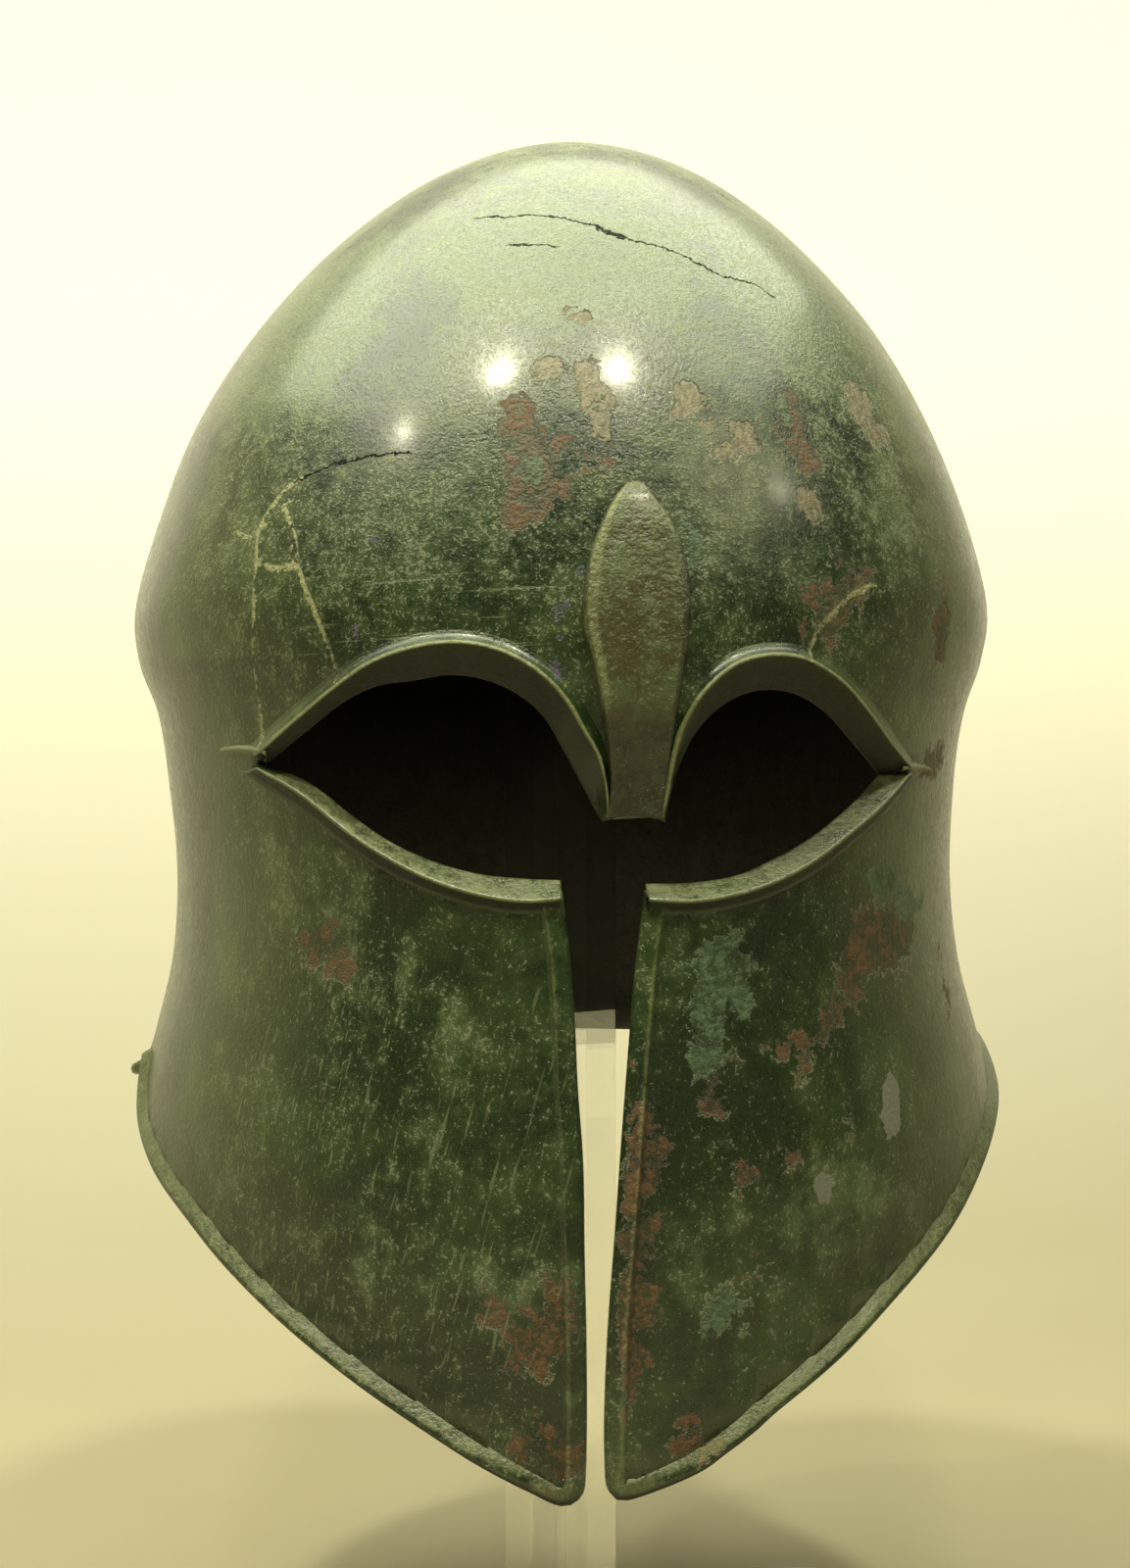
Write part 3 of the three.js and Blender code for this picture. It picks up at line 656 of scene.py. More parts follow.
def eye_rim(key, count):
    rows = rim_rows(key, count + 1)
    way = rows[:, 2:] - rows[:, :2]
    wide = np.maximum(np.linalg.norm(way, axis=1), 0.7)
    way = way / wide[:, None]
    ends = np.minimum(np.arange(count + 1), np.arange(count + 1)[::-1])
    crest = CREST * (0.8 + 0.2 * np.clip(ends / 6, 0, 1))
    depth = np.minimum(2.4, wide * 0.5)
    rings = np.array([rim_profile(w, c, d) for w, c, d in zip(wide, crest, depth)])

    def spot(i, k):
        along, lift = rings[i, k].T
        x = rows[i, 0] + way[i, 0] * along
        z = rows[i, 1] + way[i, 1] * along
        return seen(x, z, lift)

    return swept("eye_rim_" + key, count, rings.shape[1], spot)


for key, count in (("upper_left", 130), ("lower_left", 100), ("upper_right", 120), ("lower_right", 90)):
    bronze.append(eye_rim(key, count))

# %% [markdown]
# The brow rim runs on past the outer corner of each eye as a thin raised line.

# %% Brow tails
def brow_tail(name, start, end):
    count = 26
    n = 10
    span = np.linspace(-1, 1, n)

    def spot(i, k):
        u = i / count
        top = k < n
        side = np.where(top, span[np.minimum(k, n - 1)], span[np.maximum(2 * n - 1 - k, 0) % n])
        x = start[0] + (end[0] - start[0]) * u
        z = start[1] + (end[1] - start[1]) * u + 0.5 * np.sin(u * 3)
        high = 2.3 * (1 - u) ** 0.8 + 0.25
        lift = np.where(top, high * np.exp(-(side * 3.0) ** 2) - 0.12, -0.8)
        return seen(x, z + side * (1.9 - 0.7 * u), lift)

    return swept(name, count, 2 * n, spot)


bronze.append(brow_tail("brow_tail_left", (-67.3, 145.4), (-77.5, 146.0)))
bronze.append(brow_tail("brow_tail_right", (63.8, 142.3), (74.0, 141.8)))

# %% [markdown]
# ## Bead round the cheekpieces
# The edge of each cheek is thickened to a narrow rounded bead. It runs down beside the slot,
# turns round the tip and goes back along the lower edge to the notch at the ear.

# %% Cheek edges
BEAD_WIDE = 1.9
SLOT_EDGE = np.array([  # towards the edge, outwards
    (-3.2, -0.70), (-2.8, -0.12), (-2.35, 0.10), (-2.05, 0.62), (-1.7, 0.86), (-1.3, 0.78), (-0.6, 0.56),
    (0.3, 0.28), (1.1, -0.05), (1.6, -0.45), (1.9, -0.95), (1.9, -1.35), (1.55, -1.75), (0.6, -2.00),
    (-0.8, -1.90), (-2.4, -1.45)])
HEM_EDGE = np.array([
    (-4.0, -0.70), (-3.4, -0.08), (-2.7, 0.10), (-2.3, 0.34), (-1.7, 0.76), (-0.8, 1.42), (0.1, 2.02),
    (0.8, 2.32), (1.4, 2.14), (1.8, 1.55), (1.9, 0.80), (1.75, 0.00), (1.2, -0.90), (0.2, -1.70),
    (-1.2, -1.90), (-2.8, -1.50)])


def smooth_path(marks, count):
    """Marks joined by a smooth curve and spaced evenly along it."""
    dense = table_at(marks, np.linspace(0, len(marks) - 1, 2400))
    far = np.concatenate([[0], np.cumsum(np.linalg.norm(np.diff(dense, axis=0), axis=1))])
    want = np.linspace(0, far[-1], count + 1)
    return np.stack([np.interp(want, far, dense[:, k]) for k in range(dense.shape[1])], -1)


def edge_path(side):
    column, away = (1, -1) if side == "left" else (2, 1)
    edge = SLOT[:9]
    x = edge[:, column] + away * BEAD_WIDE * 0.95
    z = edge[:, 0] - np.where(edge[:, 0] > 115, 1.0, 0)
    tip = [(-7.9, 3.6), (-10.2, 2.2)] if side == "left" else [(0.3, 4.8), (2.5, 3.5)]
    x = np.append(x, [p[0] for p in tip])
    z = np.append(z, [p[1] for p in tip])
    marks = np.stack([face_angle(x, z) * 100, z], -1)
    low = HEM[(HEM[:, 0] <= -8) & (HEM[:, 0] >= -88)][::-1] if side == "left" else \
        HEM[(HEM[:, 0] >= 6.2) & (HEM[:, 0] <= 88)]
    hem = np.stack([np.radians(low[:, 0]) * 100, low[:, 1] + BEAD_WIDE * 0.95], -1)
    return smooth_path(np.vstack([marks, hem]), 300) / (100, 1)


def cheek_edge(side):
    path = edge_path(side)
    count = len(path) - 1
    centre = skin(path[:, 0], path[:, 1])
    out = skin_normal(path[:, 0], path[:, 1])
    run = np.gradient(centre, axis=0)
    run /= np.linalg.norm(run, axis=1, keepdims=True)
    off_edge = np.cross(out, run) * (1 if side == "left" else -1)
    since_tip = np.arange(count + 1) - path[:, 1].argmin()
    share = np.clip(since_tip / 34 + 0.35, 0, 1)
    share = (share * share * (3 - 2 * share))[:, None, None]
    rings = SLOT_EDGE + (HEM_EDGE - SLOT_EDGE) * share

    def spot(i, k):
        w, h = rings[i, k].T
        return centre[i] + off_edge[i] * w[:, None] + out[i] * h[:, None]

    return swept("cheek_edge_" + side, count, len(SLOT_EDGE), spot)


bronze.append(cheek_edge("left"))
bronze.append(cheek_edge("right"))

# %% [markdown]
# ## Neck guard
# The back of the sheet sweeps out over the nape and ends in a turned rim. In the photo only its
# two ends show, as small knobs beside the cheeks.

# %% Neck rim
def neck_rim():
    profile = np.array([
        (-1.9, 3.4), (-0.4, 3.6), (0.5, 2.4), (1.1, 0.4), (2.0, -2.2), (3.4, -4.6), (5.2, -6.2),
        (6.8, -6.7), (7.8, -7.3), (8.2, -8.4), (7.8, -9.4), (6.8, -9.8), (5.0, -9.4), (3.0, -8.5),
        (1.2, -7.2), (-0.6, -5.0), (-1.6, -2.0), (-2.1, 1.0)])
    count = 150

    def spot(i, k):
        angle = np.radians(97.5 + 165 * i / count)
        end = np.minimum(i, count - i)
        shrink = np.where(end < 4, 0.55 + 0.45 * np.sqrt(np.clip(end / 4, 0, 1)), 1)
        middle = np.array([2.8, -4.5])
        r, h = (middle + (profile[k] - middle) * shrink[:, None]).T
        foot = bare_skin(angle, np.full_like(angle, 79.0))
        out = np.stack([np.sin(angle), -np.cos(angle), 0 * angle], -1)
        p = foot + out * r[:, None]
        p[:, 2] = 79 + h
        return p

    return swept("neck_rim", count, len(profile), spot)


bronze.append(neck_rim())

# %% [markdown]
# ## Leaf boss and nasal
# A leaf with a flat face and sloped sides stands on the brow and runs down the nasal. Its face
# is rougher and browner than the metal round it. Its back gives the nasal its thickness.

# %% Leaf boss
BOSS = np.array([  # z, left, right, how proud
    (198.0, 4.4, 5.2, 0.3), (197.2, 2.7, 6.9, 1.6), (195.4, 1.0, 8.2, 2.8), (191.5, -1.4, 11.2, 3.8),
    (187.0, -3.3, 13.3, 4.2), (181.5, -5.1, 14.8, 4.2), (175.0, -5.9, 15.4, 4.2),
    (168.5, -5.8, 15.1, 4.1), (161.5, -4.0, 14.2, 4.0), (155.0, -2.7, 13.2, 3.8),
    (148.0, -1.6, 12.2, 3.5), (140.0, -0.9, 11.3, 3.2), (134.5, -1.3, 10.6, 3.0),
    (132.0, -1.8, 10.3, 2.8)])


def leaf_boss():
    count = 110
    rows = table_at(BOSS, np.linspace(0, len(BOSS) - 1, count + 1))
    across_share = [-1.0, -0.93, -0.9, -0.84, -0.78, -0.7, -0.5, -0.25, 0.0,
                    0.25, 0.5, 0.7, 0.78, 0.84, 0.9, 0.93, 1.0]
    n = len(across_share) + 9

    def spot(i, k):
        z, left, right, proud = rows[i].T
        half = (right - left) / 2
        middle = (right + left) / 2
        front = k < len(across_share)
        share = np.where(front, np.array(across_share)[np.minimum(k, len(across_share) - 1)],
                         np.linspace(0.96, -0.96, 9)[np.clip(k - len(across_share), 0, 8)])
        slope = np.minimum(np.where(share < 0, 1.5, 2.6), half * 0.55)
        inset = (1 - np.abs(share)) * half * 2.2
        side = np.clip(inset / np.maximum(slope, 0.05), 0, 1)
        hollow = (0.25 + 1.1 * np.clip((154 - z) / 12, 0, 1)) * (1 - share**2)
        face = proud * (side * side * (3 - 2 * side)) - hollow
        back = np.where(z < 172, -3.0, -1.1)
        lift = np.where(front, face - np.where(np.abs(share) > 0.99, 0.5, 0), back)
        sag = 1.1 * (1 - share**2) * np.clip((136 - z) / 4, 0, 1)
        return seen(middle + share * half, z + sag, lift)

    return swept("leaf_boss", count, n, spot)


bronze.append(leaf_boss())

# %% [markdown]
# ## What the centuries did, and where
# The marks that belong to this one helmet are charted here: each patch has its place round the
# face in degrees, its height above the cheek tips, its half sizes in millimetres and its lean.
# Cracks and mended seams are short routes over the same skin. Every bronze piece then gets them
# as values on its points, which the patina reads.

# %% Patches and cracks
PATCHES = {  # degrees round, height, half wide, half tall, lean in degrees
    "tan": [
        (-2.2, 220.6, 3.1, 3.2, 0), (-1.4, 213.0, 3.2, 8.6, -8), (-6.4, 221.4, 3.0, 2.9, 0),
        (-3.2, 232.7, 1.8, 1.6, 0), (8.8, 216.7, 3.3, 2.3, 20), (14.3, 208.0, 3.1, 3.6, 0),
        (12.3, 204.8, 3.4, 2.2, 0), (33.9, 218.4, 4.9, 5.6, 0), (35.6, 212.3, 5.9, 3.5, 0),
        (21.2, 194.6, 3.5, 3.8, 0), (7.4, 212.5, 2.4, 1.8, 0), (10.1, 211.7, 2.9, 1.8, 30)],
    "rust": [
        (-8.6, 201.5, 4.8, 10.0, -10), (-7.4, 196.1, 5.9, 5.6, 0), (-2.0, 203.6, 5.7, 2.9, 0),
        (-5.5, 205.0, 4.6, 3.4, 0), (-8.9, 191.3, 3.5, 2.8, 0), (23.9, 183.0, 2.1, 2.9, 0),
        (25.0, 177.2, 8.7, 4.0, -25), (22.4, 172.1, 2.6, 2.7, 0), (19.1, 168.0, 1.2, 3.5, 10),
        (20.4, 212.9, 4.1, 6.3, 0), (21.4, 205.8, 2.1, 3.7, 0), (3.0, 67.2, 5.1, 7.5, -10),
        (1.7, 52.3, 3.5, 20.6, 0), (1.2, 35.5, 2.3, 9.4, 0), (7.3, 14.1, 5.8, 4.9, 0),
        (23.6, 89.8, 8.7, 1.8, -35), (28.5, 101.1, 4.1, 7.2, 0), (18.7, 87.5, 5.7, 1.4, -10),
        (35.9, 107.5, 15.8, 8.1, 0), (43.2, 171.9, 3.6, 8.0, 0), (45.9, 143.2, 9.0, 2.4, 0),
        (53.9, 94.2, 3.0, 6.0, 0), (26.7, 73.2, 2.5, 2.7, 0), (17.3, 67.0, 2.5, 1.9, 0),
        (12.6, 63.4, 2.0, 2.3, 0), (14.6, 45.0, 2.1, 1.0, 0), (8.8, 78.1, 3.0, 3.8, 0),
        (-6.9, 31.7, 5.7, 4.9, 0), (-5.5, 36.4, 2.7, 5.6, 0), (-6.4, 11.1, 5.7, 6.4, 0),
        (-10.5, 25.7, 2.8, 1.9, 0), (-33.3, 106.3, 4.8, 3.2, 0), (-29.6, 101.6, 2.7, 2.4, 0),
        (-11.9, 36.8, 2.0, 1.5, 0)],
    "turq": [
        (-7.9, 200.1, 1.7, 2.5, 0), (-5.9, 202.0, 1.1, 1.0, 0), (11.3, 103.5, 6.7, 5.7, 0),
        (8.9, 93.2, 3.8, 9.5, 10), (8.0, 83.8, 2.1, 5.3, 0), (12.0, 98.7, 3.2, 7.7, -15),
        (36.3, 118.7, 7.1, 4.5, 0), (41.5, 113.2, 8.7, 2.9, 0), (36.2, 113.6, 8.9, 1.6, 0),
        (10.2, 38.2, 3.0, 2.6, 0), (12.9, 34.9, 2.7, 2.7, 0), (8.7, 30.9, 2.5, 1.9, 0),
        (19.4, 214.8, 2.5, 3.4, 0), (-1.9, 212.1, 1.0, 1.8, 0), (7.4, 185.7, 0.6, 4.0, 0)],
    "grey": [(33.6, 73.0, 3.7, 6.4, 8), (22.1, 58.6, 3.3, 3.1, 0)],
    "violet": [
        (-3.3, 180.6, 0.9, 1.0, 0), (-4.9, 173.4, 1.3, 0.8, 0), (-5.6, 171.1, 1.1, 0.9, 0),
        (-5.3, 167.3, 0.9, 0.8, 0), (-5.6, 161.7, 1.1, 1.5, 0), (-26.0, 169.0, 0.7, 1.7, 0),
        (-24.1, 186.7, 1.4, 1.0, 0), (-5.3, 159.8, 0.9, 0.8, 0)],
    "pale": [
        (-4.1, 246.0, 34.0, 18.9, 0), (-46.4, 233.7, 29.9, 26.8, 0), (40.3, 237.6, 38.0, 32.3, 0),
        (-15.9, 79.8, 2.9, 6.8, 10), (-23.4, 55.1, 3.3, 8.4, 10), (-28.2, 101.8, 9.0, 6.7, 0),
        (-8.2, 44.7, 8.9, 6.4, 0), (-23.0, 102.1, 9.6, 5.8, 0), (10.2, 37.2, 7.4, 8.3, 0),
        (-18.5, 75.8, 3.5, 5.0, 0), (-16.3, 93.0, 4.3, 5.7, 0), (-37.1, 121.0, 7.9, 8.1, 0),
        (33.6, 199.4, 11.2, 14.6, 0), (24.1, 52.8, 17.4, 9.7, 0)],
}
SEAMS = [  # mended with a pale filler
    [(-41.0, 145.0), (-40.5, 152.0), (-40.3, 159.0), (-40.0, 165.9), (-39.5, 172.8),
     (-39.4, 180.8), (-39.9, 186.9), (-40.1, 190.0), (-39.6, 192.9), (-38.7, 194.9),
     (-37.6, 197.2), (-36.5, 199.3), (-34.8, 200.5)],
    [(-37.2, 196.7), (-35.9, 194.1), (-34.8, 191.3), (-33.9, 188.6), (-33.5, 185.2),
     (-32.9, 182.1), (-31.7, 177.7), (-30.6, 174.1), (-29.6, 169.7), (-28.8, 166.2),
     (-28.2, 162.7), (-27.9, 159.4)],
    [(-37.7, 183.0), (-35.7, 182.4), (-33.3, 182.6)],
    [(-43.6, 190.4), (-41.4, 189.3), (-39.8, 189.1)],
    [(20.3, 161.9), (20.8, 165.2), (21.4, 168.1), (21.9, 170.1), (23.1, 172.1), (24.4, 174.2),
     (25.6, 176.3), (27.2, 177.8), (29.3, 179.2)],
]
# the cracks are open gaps, painted near-black as the shade in them
CRACKS = [  # open and dark; where two of them run side by side is the gap on the crown
    [(-34.8, 200.5), (-32.5, 201.8), (-30.1, 202.9), (-27.5, 203.6), (-25.1, 204.3),
     (-22.7, 204.5), (-21.0, 204.5)],
    [(-18.8, 257.9), (-14.4, 257.3), (-10.4, 257.5), (-4.9, 256.2), (-0.5, 254.2), (0.5, 253.2),
     (1.9, 252.7), (3.2, 251.6), (4.6, 250.9), (7.9, 250.2), (10.6, 249.1), (12.7, 247.9),
     (15.0, 245.8), (17.1, 243.8), (19.8, 243.6), (22.8, 242.9), (25.0, 240.6)],
    [(-0.5, 254.6), (0.6, 253.7), (1.9, 253.1), (3.2, 252.0), (4.4, 251.2)],
    [(32.5, 269.3), (33.7, 267.9), (35.7, 266.4)],
    [(-12.1, 250.0), (-9.0, 249.8), (-6.4, 249.2)],
]

# %% [markdown]
# ## Reading the chart
# Each point of a bronze piece is asked where it lies round the face, how high it stands off the
# sheet and which way it faces. From that come its distances to the patches, seams and cracks,
# how far it is worn, where painted highlight falls on it, and where painted shade darkens it.

# %% Reading the chart
def patch_value(turn, z, round_, blobs):
    """Distance in millimetres inside the nearest patch of a kind, less than zero outside it."""
    best = np.full(len(z), -12.0)
    for deg, high, wide, tall, lean in blobs:
        a = (turn - math.radians(deg)) * round_
        b = z - high
        tilt = math.radians(lean)
        u = (a * math.cos(tilt) - b * math.sin(tilt)) / wide
        w = (a * math.sin(tilt) + b * math.cos(tilt)) / tall
        best = np.maximum(best, (1 - np.hypot(u, w)) * min(wide, tall))
    return best


def route_value(points, normals, routes):
    """Signed distance to the nearest route, and a value that is 1 near it and 0 beyond 3 mm."""
    best = np.full(len(points), 99.0)
    side = np.full(len(points), 99.0)
    for route in routes:
        marks = np.radians([r[0] for r in route]), np.array([r[1] for r in route])
        spots = skin(*marks)
        for a, b in zip(spots[:-1], spots[1:]):
            run = b - a
            t = np.clip((points - a) @ run / (run @ run), 0, 1)
            gap = points - (a + t[:, None] * run)
            far = np.linalg.norm(gap, axis=1)
            hand = np.sign((np.cross(normals, run) * gap).sum(1))
            nearer = far < best
            best[nearer] = far[nearer]
            side[nearer] = (far * np.where(hand == 0, 1, hand))[nearer]
    return np.clip(side, -9, 9), 1 - np.clip((best - 0.5) / 3.0, 0, 1)


def ramp(value, low, high):
    t = np.clip((value - low) / (high - low), 0, 1)
    return t * t * (3 - 2 * t)


def leaf_place(x, z):
    """How far a point lies to the right of the leaf's middle line, and its share of the half width."""
    left, right = [np.interp(-z, -BOSS[:, 0], BOSS[:, k]) for k in (1, 2)]
    off = x - (left + right) / 2
    return off, np.abs(off) / ((right - left) / 2)


def wear_and_highlight_value(kind, x, z, deg, lift, up):
    """How far the skin is worn to a paler line at crests, with painted highlight on faces turned up and on
    the leaf's left and top borders.
    """
    if kind == "leaf":
        off, share = leaf_place(x, z)
        # painted highlight: the leaf's left and top borders are paler, its right border barely
        outline = ramp(share, 0.73, 0.80) * ramp(share, 1.0, 0.9)
        return outline * (0.12 + 0.55 * ramp(-off, -1, 2) * ramp(z, 150, 158) + 0.35 * ramp(z, 182, 190))
    if kind == "helmet":
        return np.zeros(len(z))
    crest = ramp(lift, 1.7, 2.25) * (kind == "eye") + 0.75 * (kind == "brow")
    crest = crest * np.where(z < 141, 0.7, 0.95)
    crease = 0.42 * ramp(lift, 0.72, 0.84) * (abs(x + 3.6) < 13) * (z < 117) * (kind == "cheek")
    # painted highlight on faces turned up towards the lamps
    upward_highlight = 0.5 * ramp(up, 0.15, 0.45) * (z < 141) * (kind in ("cheek", "eye"))
    knob = 0.6 * ramp(abs(deg), 104, 99) * (kind == "neck")
    return np.max([crest, crease, upward_highlight, knob], axis=0)


def painted_shade_value(kind, z, deg, off_skin, up):
    """Painted shade: 1 where a face looks into the helmet or down from a rim, painted nearly black."""
    inner = np.clip(0.1 - 2 * off_skin, 0, 1)
    if kind == "neck":
        return inner * ramp(abs(deg), 99.5, 104)
    if kind in ("eye", "cheek"):
        return np.maximum(inner, 0.85 * ramp(-up, 0.15, 0.5))
    return np.where(z > 286, up < 0, inner)


def chart(piece):
    mesh = piece.data
    kind = piece.name.split("_")[0]
    count = len(mesh.vertices)
    flat = np.zeros(count * 3)
    mesh.vertices.foreach_get("co", flat)
    points = flat.reshape(-1, 3) / MM - (0, 0, TIP_Z)
    mesh.vertices.foreach_get("normal", flat)
    facing = flat.reshape(-1, 3).copy()
    up = facing[:, 2]
    x, y, z = points.T
    turn = np.arctan2(x - 0.6, -y)
    deg = np.degrees(turn)
    round_ = np.hypot(x, y)
    low = np.clip(z, -13, 286.5)
    out = skin_normal(turn, low)
    lift = ((points - bare_skin(turn, low)) * out).sum(1)

    # patches, and which way their borders face, for painted highlight on lower borders and painted shadow
    # on upper ones
    values = {name: patch_value(turn, z, round_, blobs) for name, blobs in PATCHES.items()}
    flaked = PATCHES["tan"] + PATCHES["rust"]
    above, below = [patch_value(turn + step * 0.005, z + step, round_, flaked) for step in (0.8, -0.8)]
    values["lee"] = (above - below) / 1.6
    crown = 7 * ramp(z, 222, 262) - 6 + 2.5 * ramp(abs(deg), 50, 110)
    values["pale"] = np.maximum(values["pale"] * np.where(z < 190, 0.5, 1.0), crown)

    # seams and cracks, and the short gap where a crack on the crown is wider
    values["seam_side"], values["seam_near"] = route_value(points, out, SEAMS)
    values["crack_side"], values["crack_near"] = route_value(points, out, CRACKS)
    values["crack_side"] *= 1 - 0.5 * ramp(abs(deg - 2.0), 3.0, 1.8) * ramp(abs(z - 252.4), 4.5, 2.5)

    # wear with painted highlight, painted shade, the leaf's tone, flecks and scratches
    # worn crests, and painted highlight on upward faces and the leaf's lit borders
    values["edge"] = wear_and_highlight_value(kind, x, z, deg, lift, up)
    # painted shade on faces that look inwards or down
    values["lining"] = painted_shade_value(kind, z, deg, (facing * out).sum(1), up)
    values["rim"] = np.full(count, float(kind == "eye"))
    values["boss"] = np.full(count, float(kind == "leaf"))
    values["leaf_brown"] = values["boss"] * (ramp(z, 181, 174) - 1.2 * ramp(z, 164, 158))
    # painted shade on the leaf's right slope, and on the lower nasal together with its own darker tone
    right_slope_shade = 0.8 * ramp(leaf_place(x, z)[1], 0.76, 0.84) * (x > 4.5) * ramp(z, 187, 181)
    values["soot"] = values["boss"] * np.maximum(ramp(z, 157, 146), right_slope_shade)
    values["fleck"] = (-0.45 + 0.95 * ramp(z, 150, 195) - 0.25 * ramp(z, 225, 262)
                       - 0.35 * ramp(z, 150, 128) * ramp(x, 0, 4))
    values["scratch"] = ramp(z, 118, 96) * ramp(z, 8, 30) * ramp(-deg, 0, 8) * ramp(-deg, 62, 45)
    values["comb"] = ramp(z, 160, 166) * ramp(z, 190, 181) * ramp(-deg, 2, 9) * ramp(-deg, 38, 30)
    for name, value in values.items():
        layer = mesh.attributes.new(name, "FLOAT", "POINT")
        layer.data.foreach_set("value", np.asarray(value, np.float32))


for piece in bronze:
    chart(piece)
print("charted", len(bronze), "bronze pieces")

# %% [markdown]
# ## The stand
# A plain square post of clear acrylic, turned corner forwards, stands on a clear base and
# carries the crown on a small frosted pad. Clear acrylic is smooth, bends light and lets most of
# it through.

# %% Acrylic
def acrylic(name, tint, rough, frost):
    s = Shader(name)
    s.set(BaseColor=tint, TransmissionWeight=1.0, IOR=1.49, Metallic=0.0, Alpha=0.4)
    smudge = s.noise(34, 3.0, 0.6, seed=21)
    scuff = s.noise(0.7, 2.0, 0.5, (1, 1, 0.05), 22)
    s.set(Roughness=(smudge * 0.005 + s.step(scuff, 2.4, 3.0) * 0.03 + rough).most(0.0))
    s.set(Normal=s.bump(s.noise(60, 1.0, 0.4, seed=23) * 0.006 + s.noise(0.8, 2, 0.5, seed=24) * frost))
    return s.material


CLEAR = acrylic("clear_acrylic", (0.965, 0.985, 0.945), 0.0, 0.0)
FROSTED = acrylic("frosted_acrylic", (0.93, 0.95, 0.91), 0.35, 0.005)

# %% [markdown]
# The photo ends above the foot, so a plain square plate carries the post. Both are sawn blocks
# with polished faces.

# %% Post and base
POST_SIDE = 18.6
BASE_SIDE = 150.0
BASE_THICK = 10.0


def eased_block(name, wide, low, high, turn, ease, material, node):
    bm = bmesh.new()
    bmesh.ops.create_cube(bm, size=1)
    bmesh.ops.scale(bm, verts=bm.verts, vec=Vector((wide, wide, high - low)) * MM)
    bmesh.ops.rotate(bm, verts=bm.verts, matrix=Matrix.Rotation(turn, 3, "Z"))
    bmesh.ops.translate(bm, verts=bm.verts, vec=Vector((0, 0, (low + high) / 2)) * MM)
    bmesh.ops.bevel(bm, geom=bm.edges[:], offset=ease * MM, affect="EDGES", segments=3,
                    profile=0.5, material=-1)
    bmesh.ops.recalc_face_normals(bm, faces=bm.faces)
    return as_piece(bm, name, material, node, smooth=False)


post_low, post_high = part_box("stand_post")
eased_block("clear_post", POST_SIDE, post_low.z / MM, post_high.z / MM, math.pi / 4, 0.35,
            CLEAR, "stand_post")
eased_block("clear_base", BASE_SIDE, 0, BASE_THICK, 0, 0.9, CLEAR, "stand_base")
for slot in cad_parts["crown_pad"].material_slots:
    slot.material = FROSTED

# %% [markdown]
# ## Backdrop
# Pale cream paper lies under the stand and sweeps up behind it. It is darker at the front, as painted
# shade, and paler further back, where part of the wall glows as painted light; that glow is what
# the waxed patina mirrors along its edges.

# %% Backdrop
WALL_Y = 1.7
WALL_TOP = 3.2
FLOOR_FRONT = -4.0
SWEEP_BEND = 0.6
SWEEP_REACH = 3.5


def backdrop_paper():
    s = Shader("pale_backdrop")
    mottle = s.step(s.noise(180, 2.0, 0.5, seed=31), -2.0, 2.0)
    split = s.node("ShaderNodeSeparateXYZ", Vector=s.place)
    side, back, up = [Field(s.tree, split.outputs[axis]) for axis in "XYZ"]
    # painted shade: the paper is darker at the front
    shaded_front_paper = s.mix(mottle, (0.44, 0.405, 0.275), (0.455, 0.42, 0.286))
    paper = s.mix(s.step(back, 0.1, 1.5), shaded_front_paper, (0.90, 0.87, 0.68))
    # painted light: a part of the wall glows, though it is no lamp
    painted_glow = s.step(up, -0.1, 0.65) * s.step(up, 1.7, 1.0)
    painted_glow = painted_glow * s.step(side.abs(), 1.9, 0.9) * s.step(back, 0.6, 1.2)
    s.set(BaseColor=paper, Roughness=0.9, SpecularIORLevel=0.1, EmissionStrength=1.0)
    s.set(EmissionColor=s.mix(painted_glow, (0.0, 0.0, 0.0), (0.84, 0.79, 0.59)))
    return s.material


def backdrop():
    foot = WALL_Y - SWEEP_BEND
    route = [(FLOOR_FRONT, 0.0), (foot, 0.0)]
    for turn in np.linspace(0.1, math.pi / 2, 14):
        route.append((foot + SWEEP_BEND * math.sin(turn), SWEEP_BEND - SWEEP_BEND * math.cos(turn)))
    route.append((WALL_Y, WALL_TOP))
    bm = bmesh.new()
    start = [bm.verts.new((-SWEEP_REACH, y, z)) for y, z in route]
    edges = [bm.edges.new(pair) for pair in zip(start, start[1:])]
    moved = bmesh.ops.extrude_edge_only(bm, edges=edges)["geom"]
    moved = [part for part in moved if isinstance(part, bmesh.types.BMVert)]
    bmesh.ops.translate(bm, verts=moved, vec=(2 * SWEEP_REACH, 0, 0))
    bmesh.ops.recalc_face_normals(bm, faces=bm.faces)
    as_object(bm, "backdrop", backdrop_paper())


backdrop()

# %% [markdown]
# ## Light
# A wide soft source hangs over the helmet. Four small lamps in front give the sharp lights on the
# forehead and temples, and their places follow from those lights: each hangs in the direction in
# which the skin there mirrors the camera's look. Panels at the sides shine along the cheeks.

# %% Lamps
HEAD = (0, 0, 0.25)
WARM = (1.0, 0.955, 0.69)
GREENISH = (0.96, 1.0, 0.36)


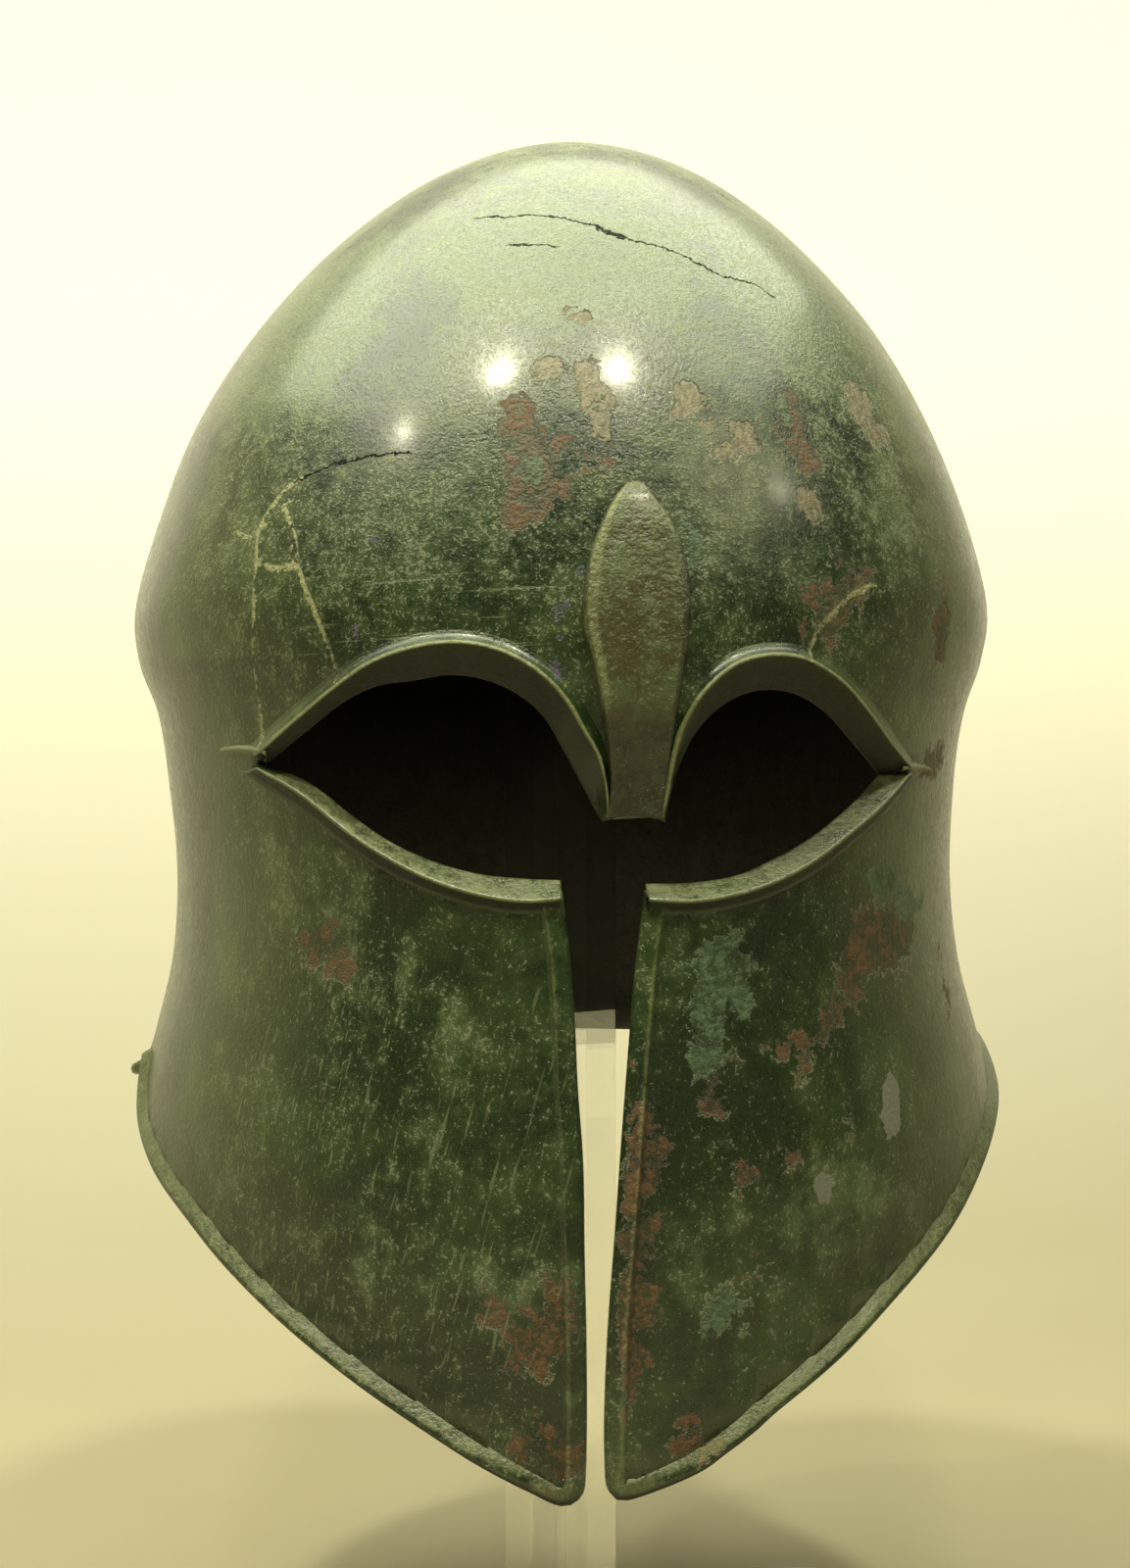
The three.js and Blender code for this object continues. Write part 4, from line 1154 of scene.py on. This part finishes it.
def lamp(name, place, target, wide, tall, watts, colour, mirrored=True, lights=True, seen_itself=True):
    """An area lamp, round if it has no height, which can be kept out of mirrors or off matt faces."""
    data = bpy.data.lights.new(name, "AREA")
    data.shape = "RECTANGLE" if tall else "DISK"
    data.size = wide
    data.size_y = tall or wide
    data.energy = watts
    data.color = colour
    light = show(bpy.data.objects.new(name, data))
    light.location = place
    light.rotation_euler = (Vector(target) - Vector(place)).to_track_quat("-Z", "Y").to_euler()
    light.visible_glossy = mirrored
    light.visible_diffuse = lights
    light.visible_camera = seen_itself


SMALL_LAMPS = [  # name, where its light sits on the helmet in mm, direction, distance, width, watts
    ("lamp_left", (-21.3, -101.8, 220.6), (-0.323, -0.325, 0.889), 1.1, 0.10, 8),
    ("lamp_right", (3.2, -104.7, 220.5), (0.170, -0.419, 0.892), 1.1, 0.10, 8),
    ("lamp_side_left", (-55, -88, 205), (-0.679, -0.258, 0.687), 1.3, 0.06, 3.2),
    ("lamp_side_right", (45, -92, 190), (0.762, -0.367, 0.534), 1.3, 0.04, 0.9)]
for name, spot, direction, distance, wide, watts in SMALL_LAMPS:
    place = Vector(to_metres(spot)) + Vector(direction).normalized() * distance
    lamp(name, place, HEAD, wide, 0, watts, WARM)
lamp("soft_front", (-0.30, -2.40, 1.85), HEAD, 0.10, 0.9, 18, WARM, mirrored=False)
lamp("soft_top", (-0.20, 0.05, 1.15), (-0.20, 0.051, 0), 0.85, 0, 8.8, WARM, mirrored=False)
lamp("soft_sheen", (-0.12, 0.20, 1.15), (-0.12, 0.201, 0), 1.9, 1.2, 35, (0.98, 1.0, 0.74), lights=False)
for side, watts in ((-1, 2.9), (1, 1.2)):
    lamp("soft_side", (side * 1.5, 0.6, 0.5), HEAD, 1.4, 1.1, watts, GREENISH,
         lights=False, seen_itself=False)
lamp("soft_right", (0.95, -0.95, 1.25), HEAD, 0.65, 0, 3.6, (1.0, 1.0, 0.55), lights=False)

world = bpy.data.worlds.new("room")
bpy.context.scene.world = world
world.use_nodes = True
room = world.node_tree.nodes["Background"].inputs
room["Color"].default_value = (1.0, 0.95, 0.66, 1)
room["Strength"].default_value = 0.06
bpy.context.scene.view_settings.view_transform = "Standard"
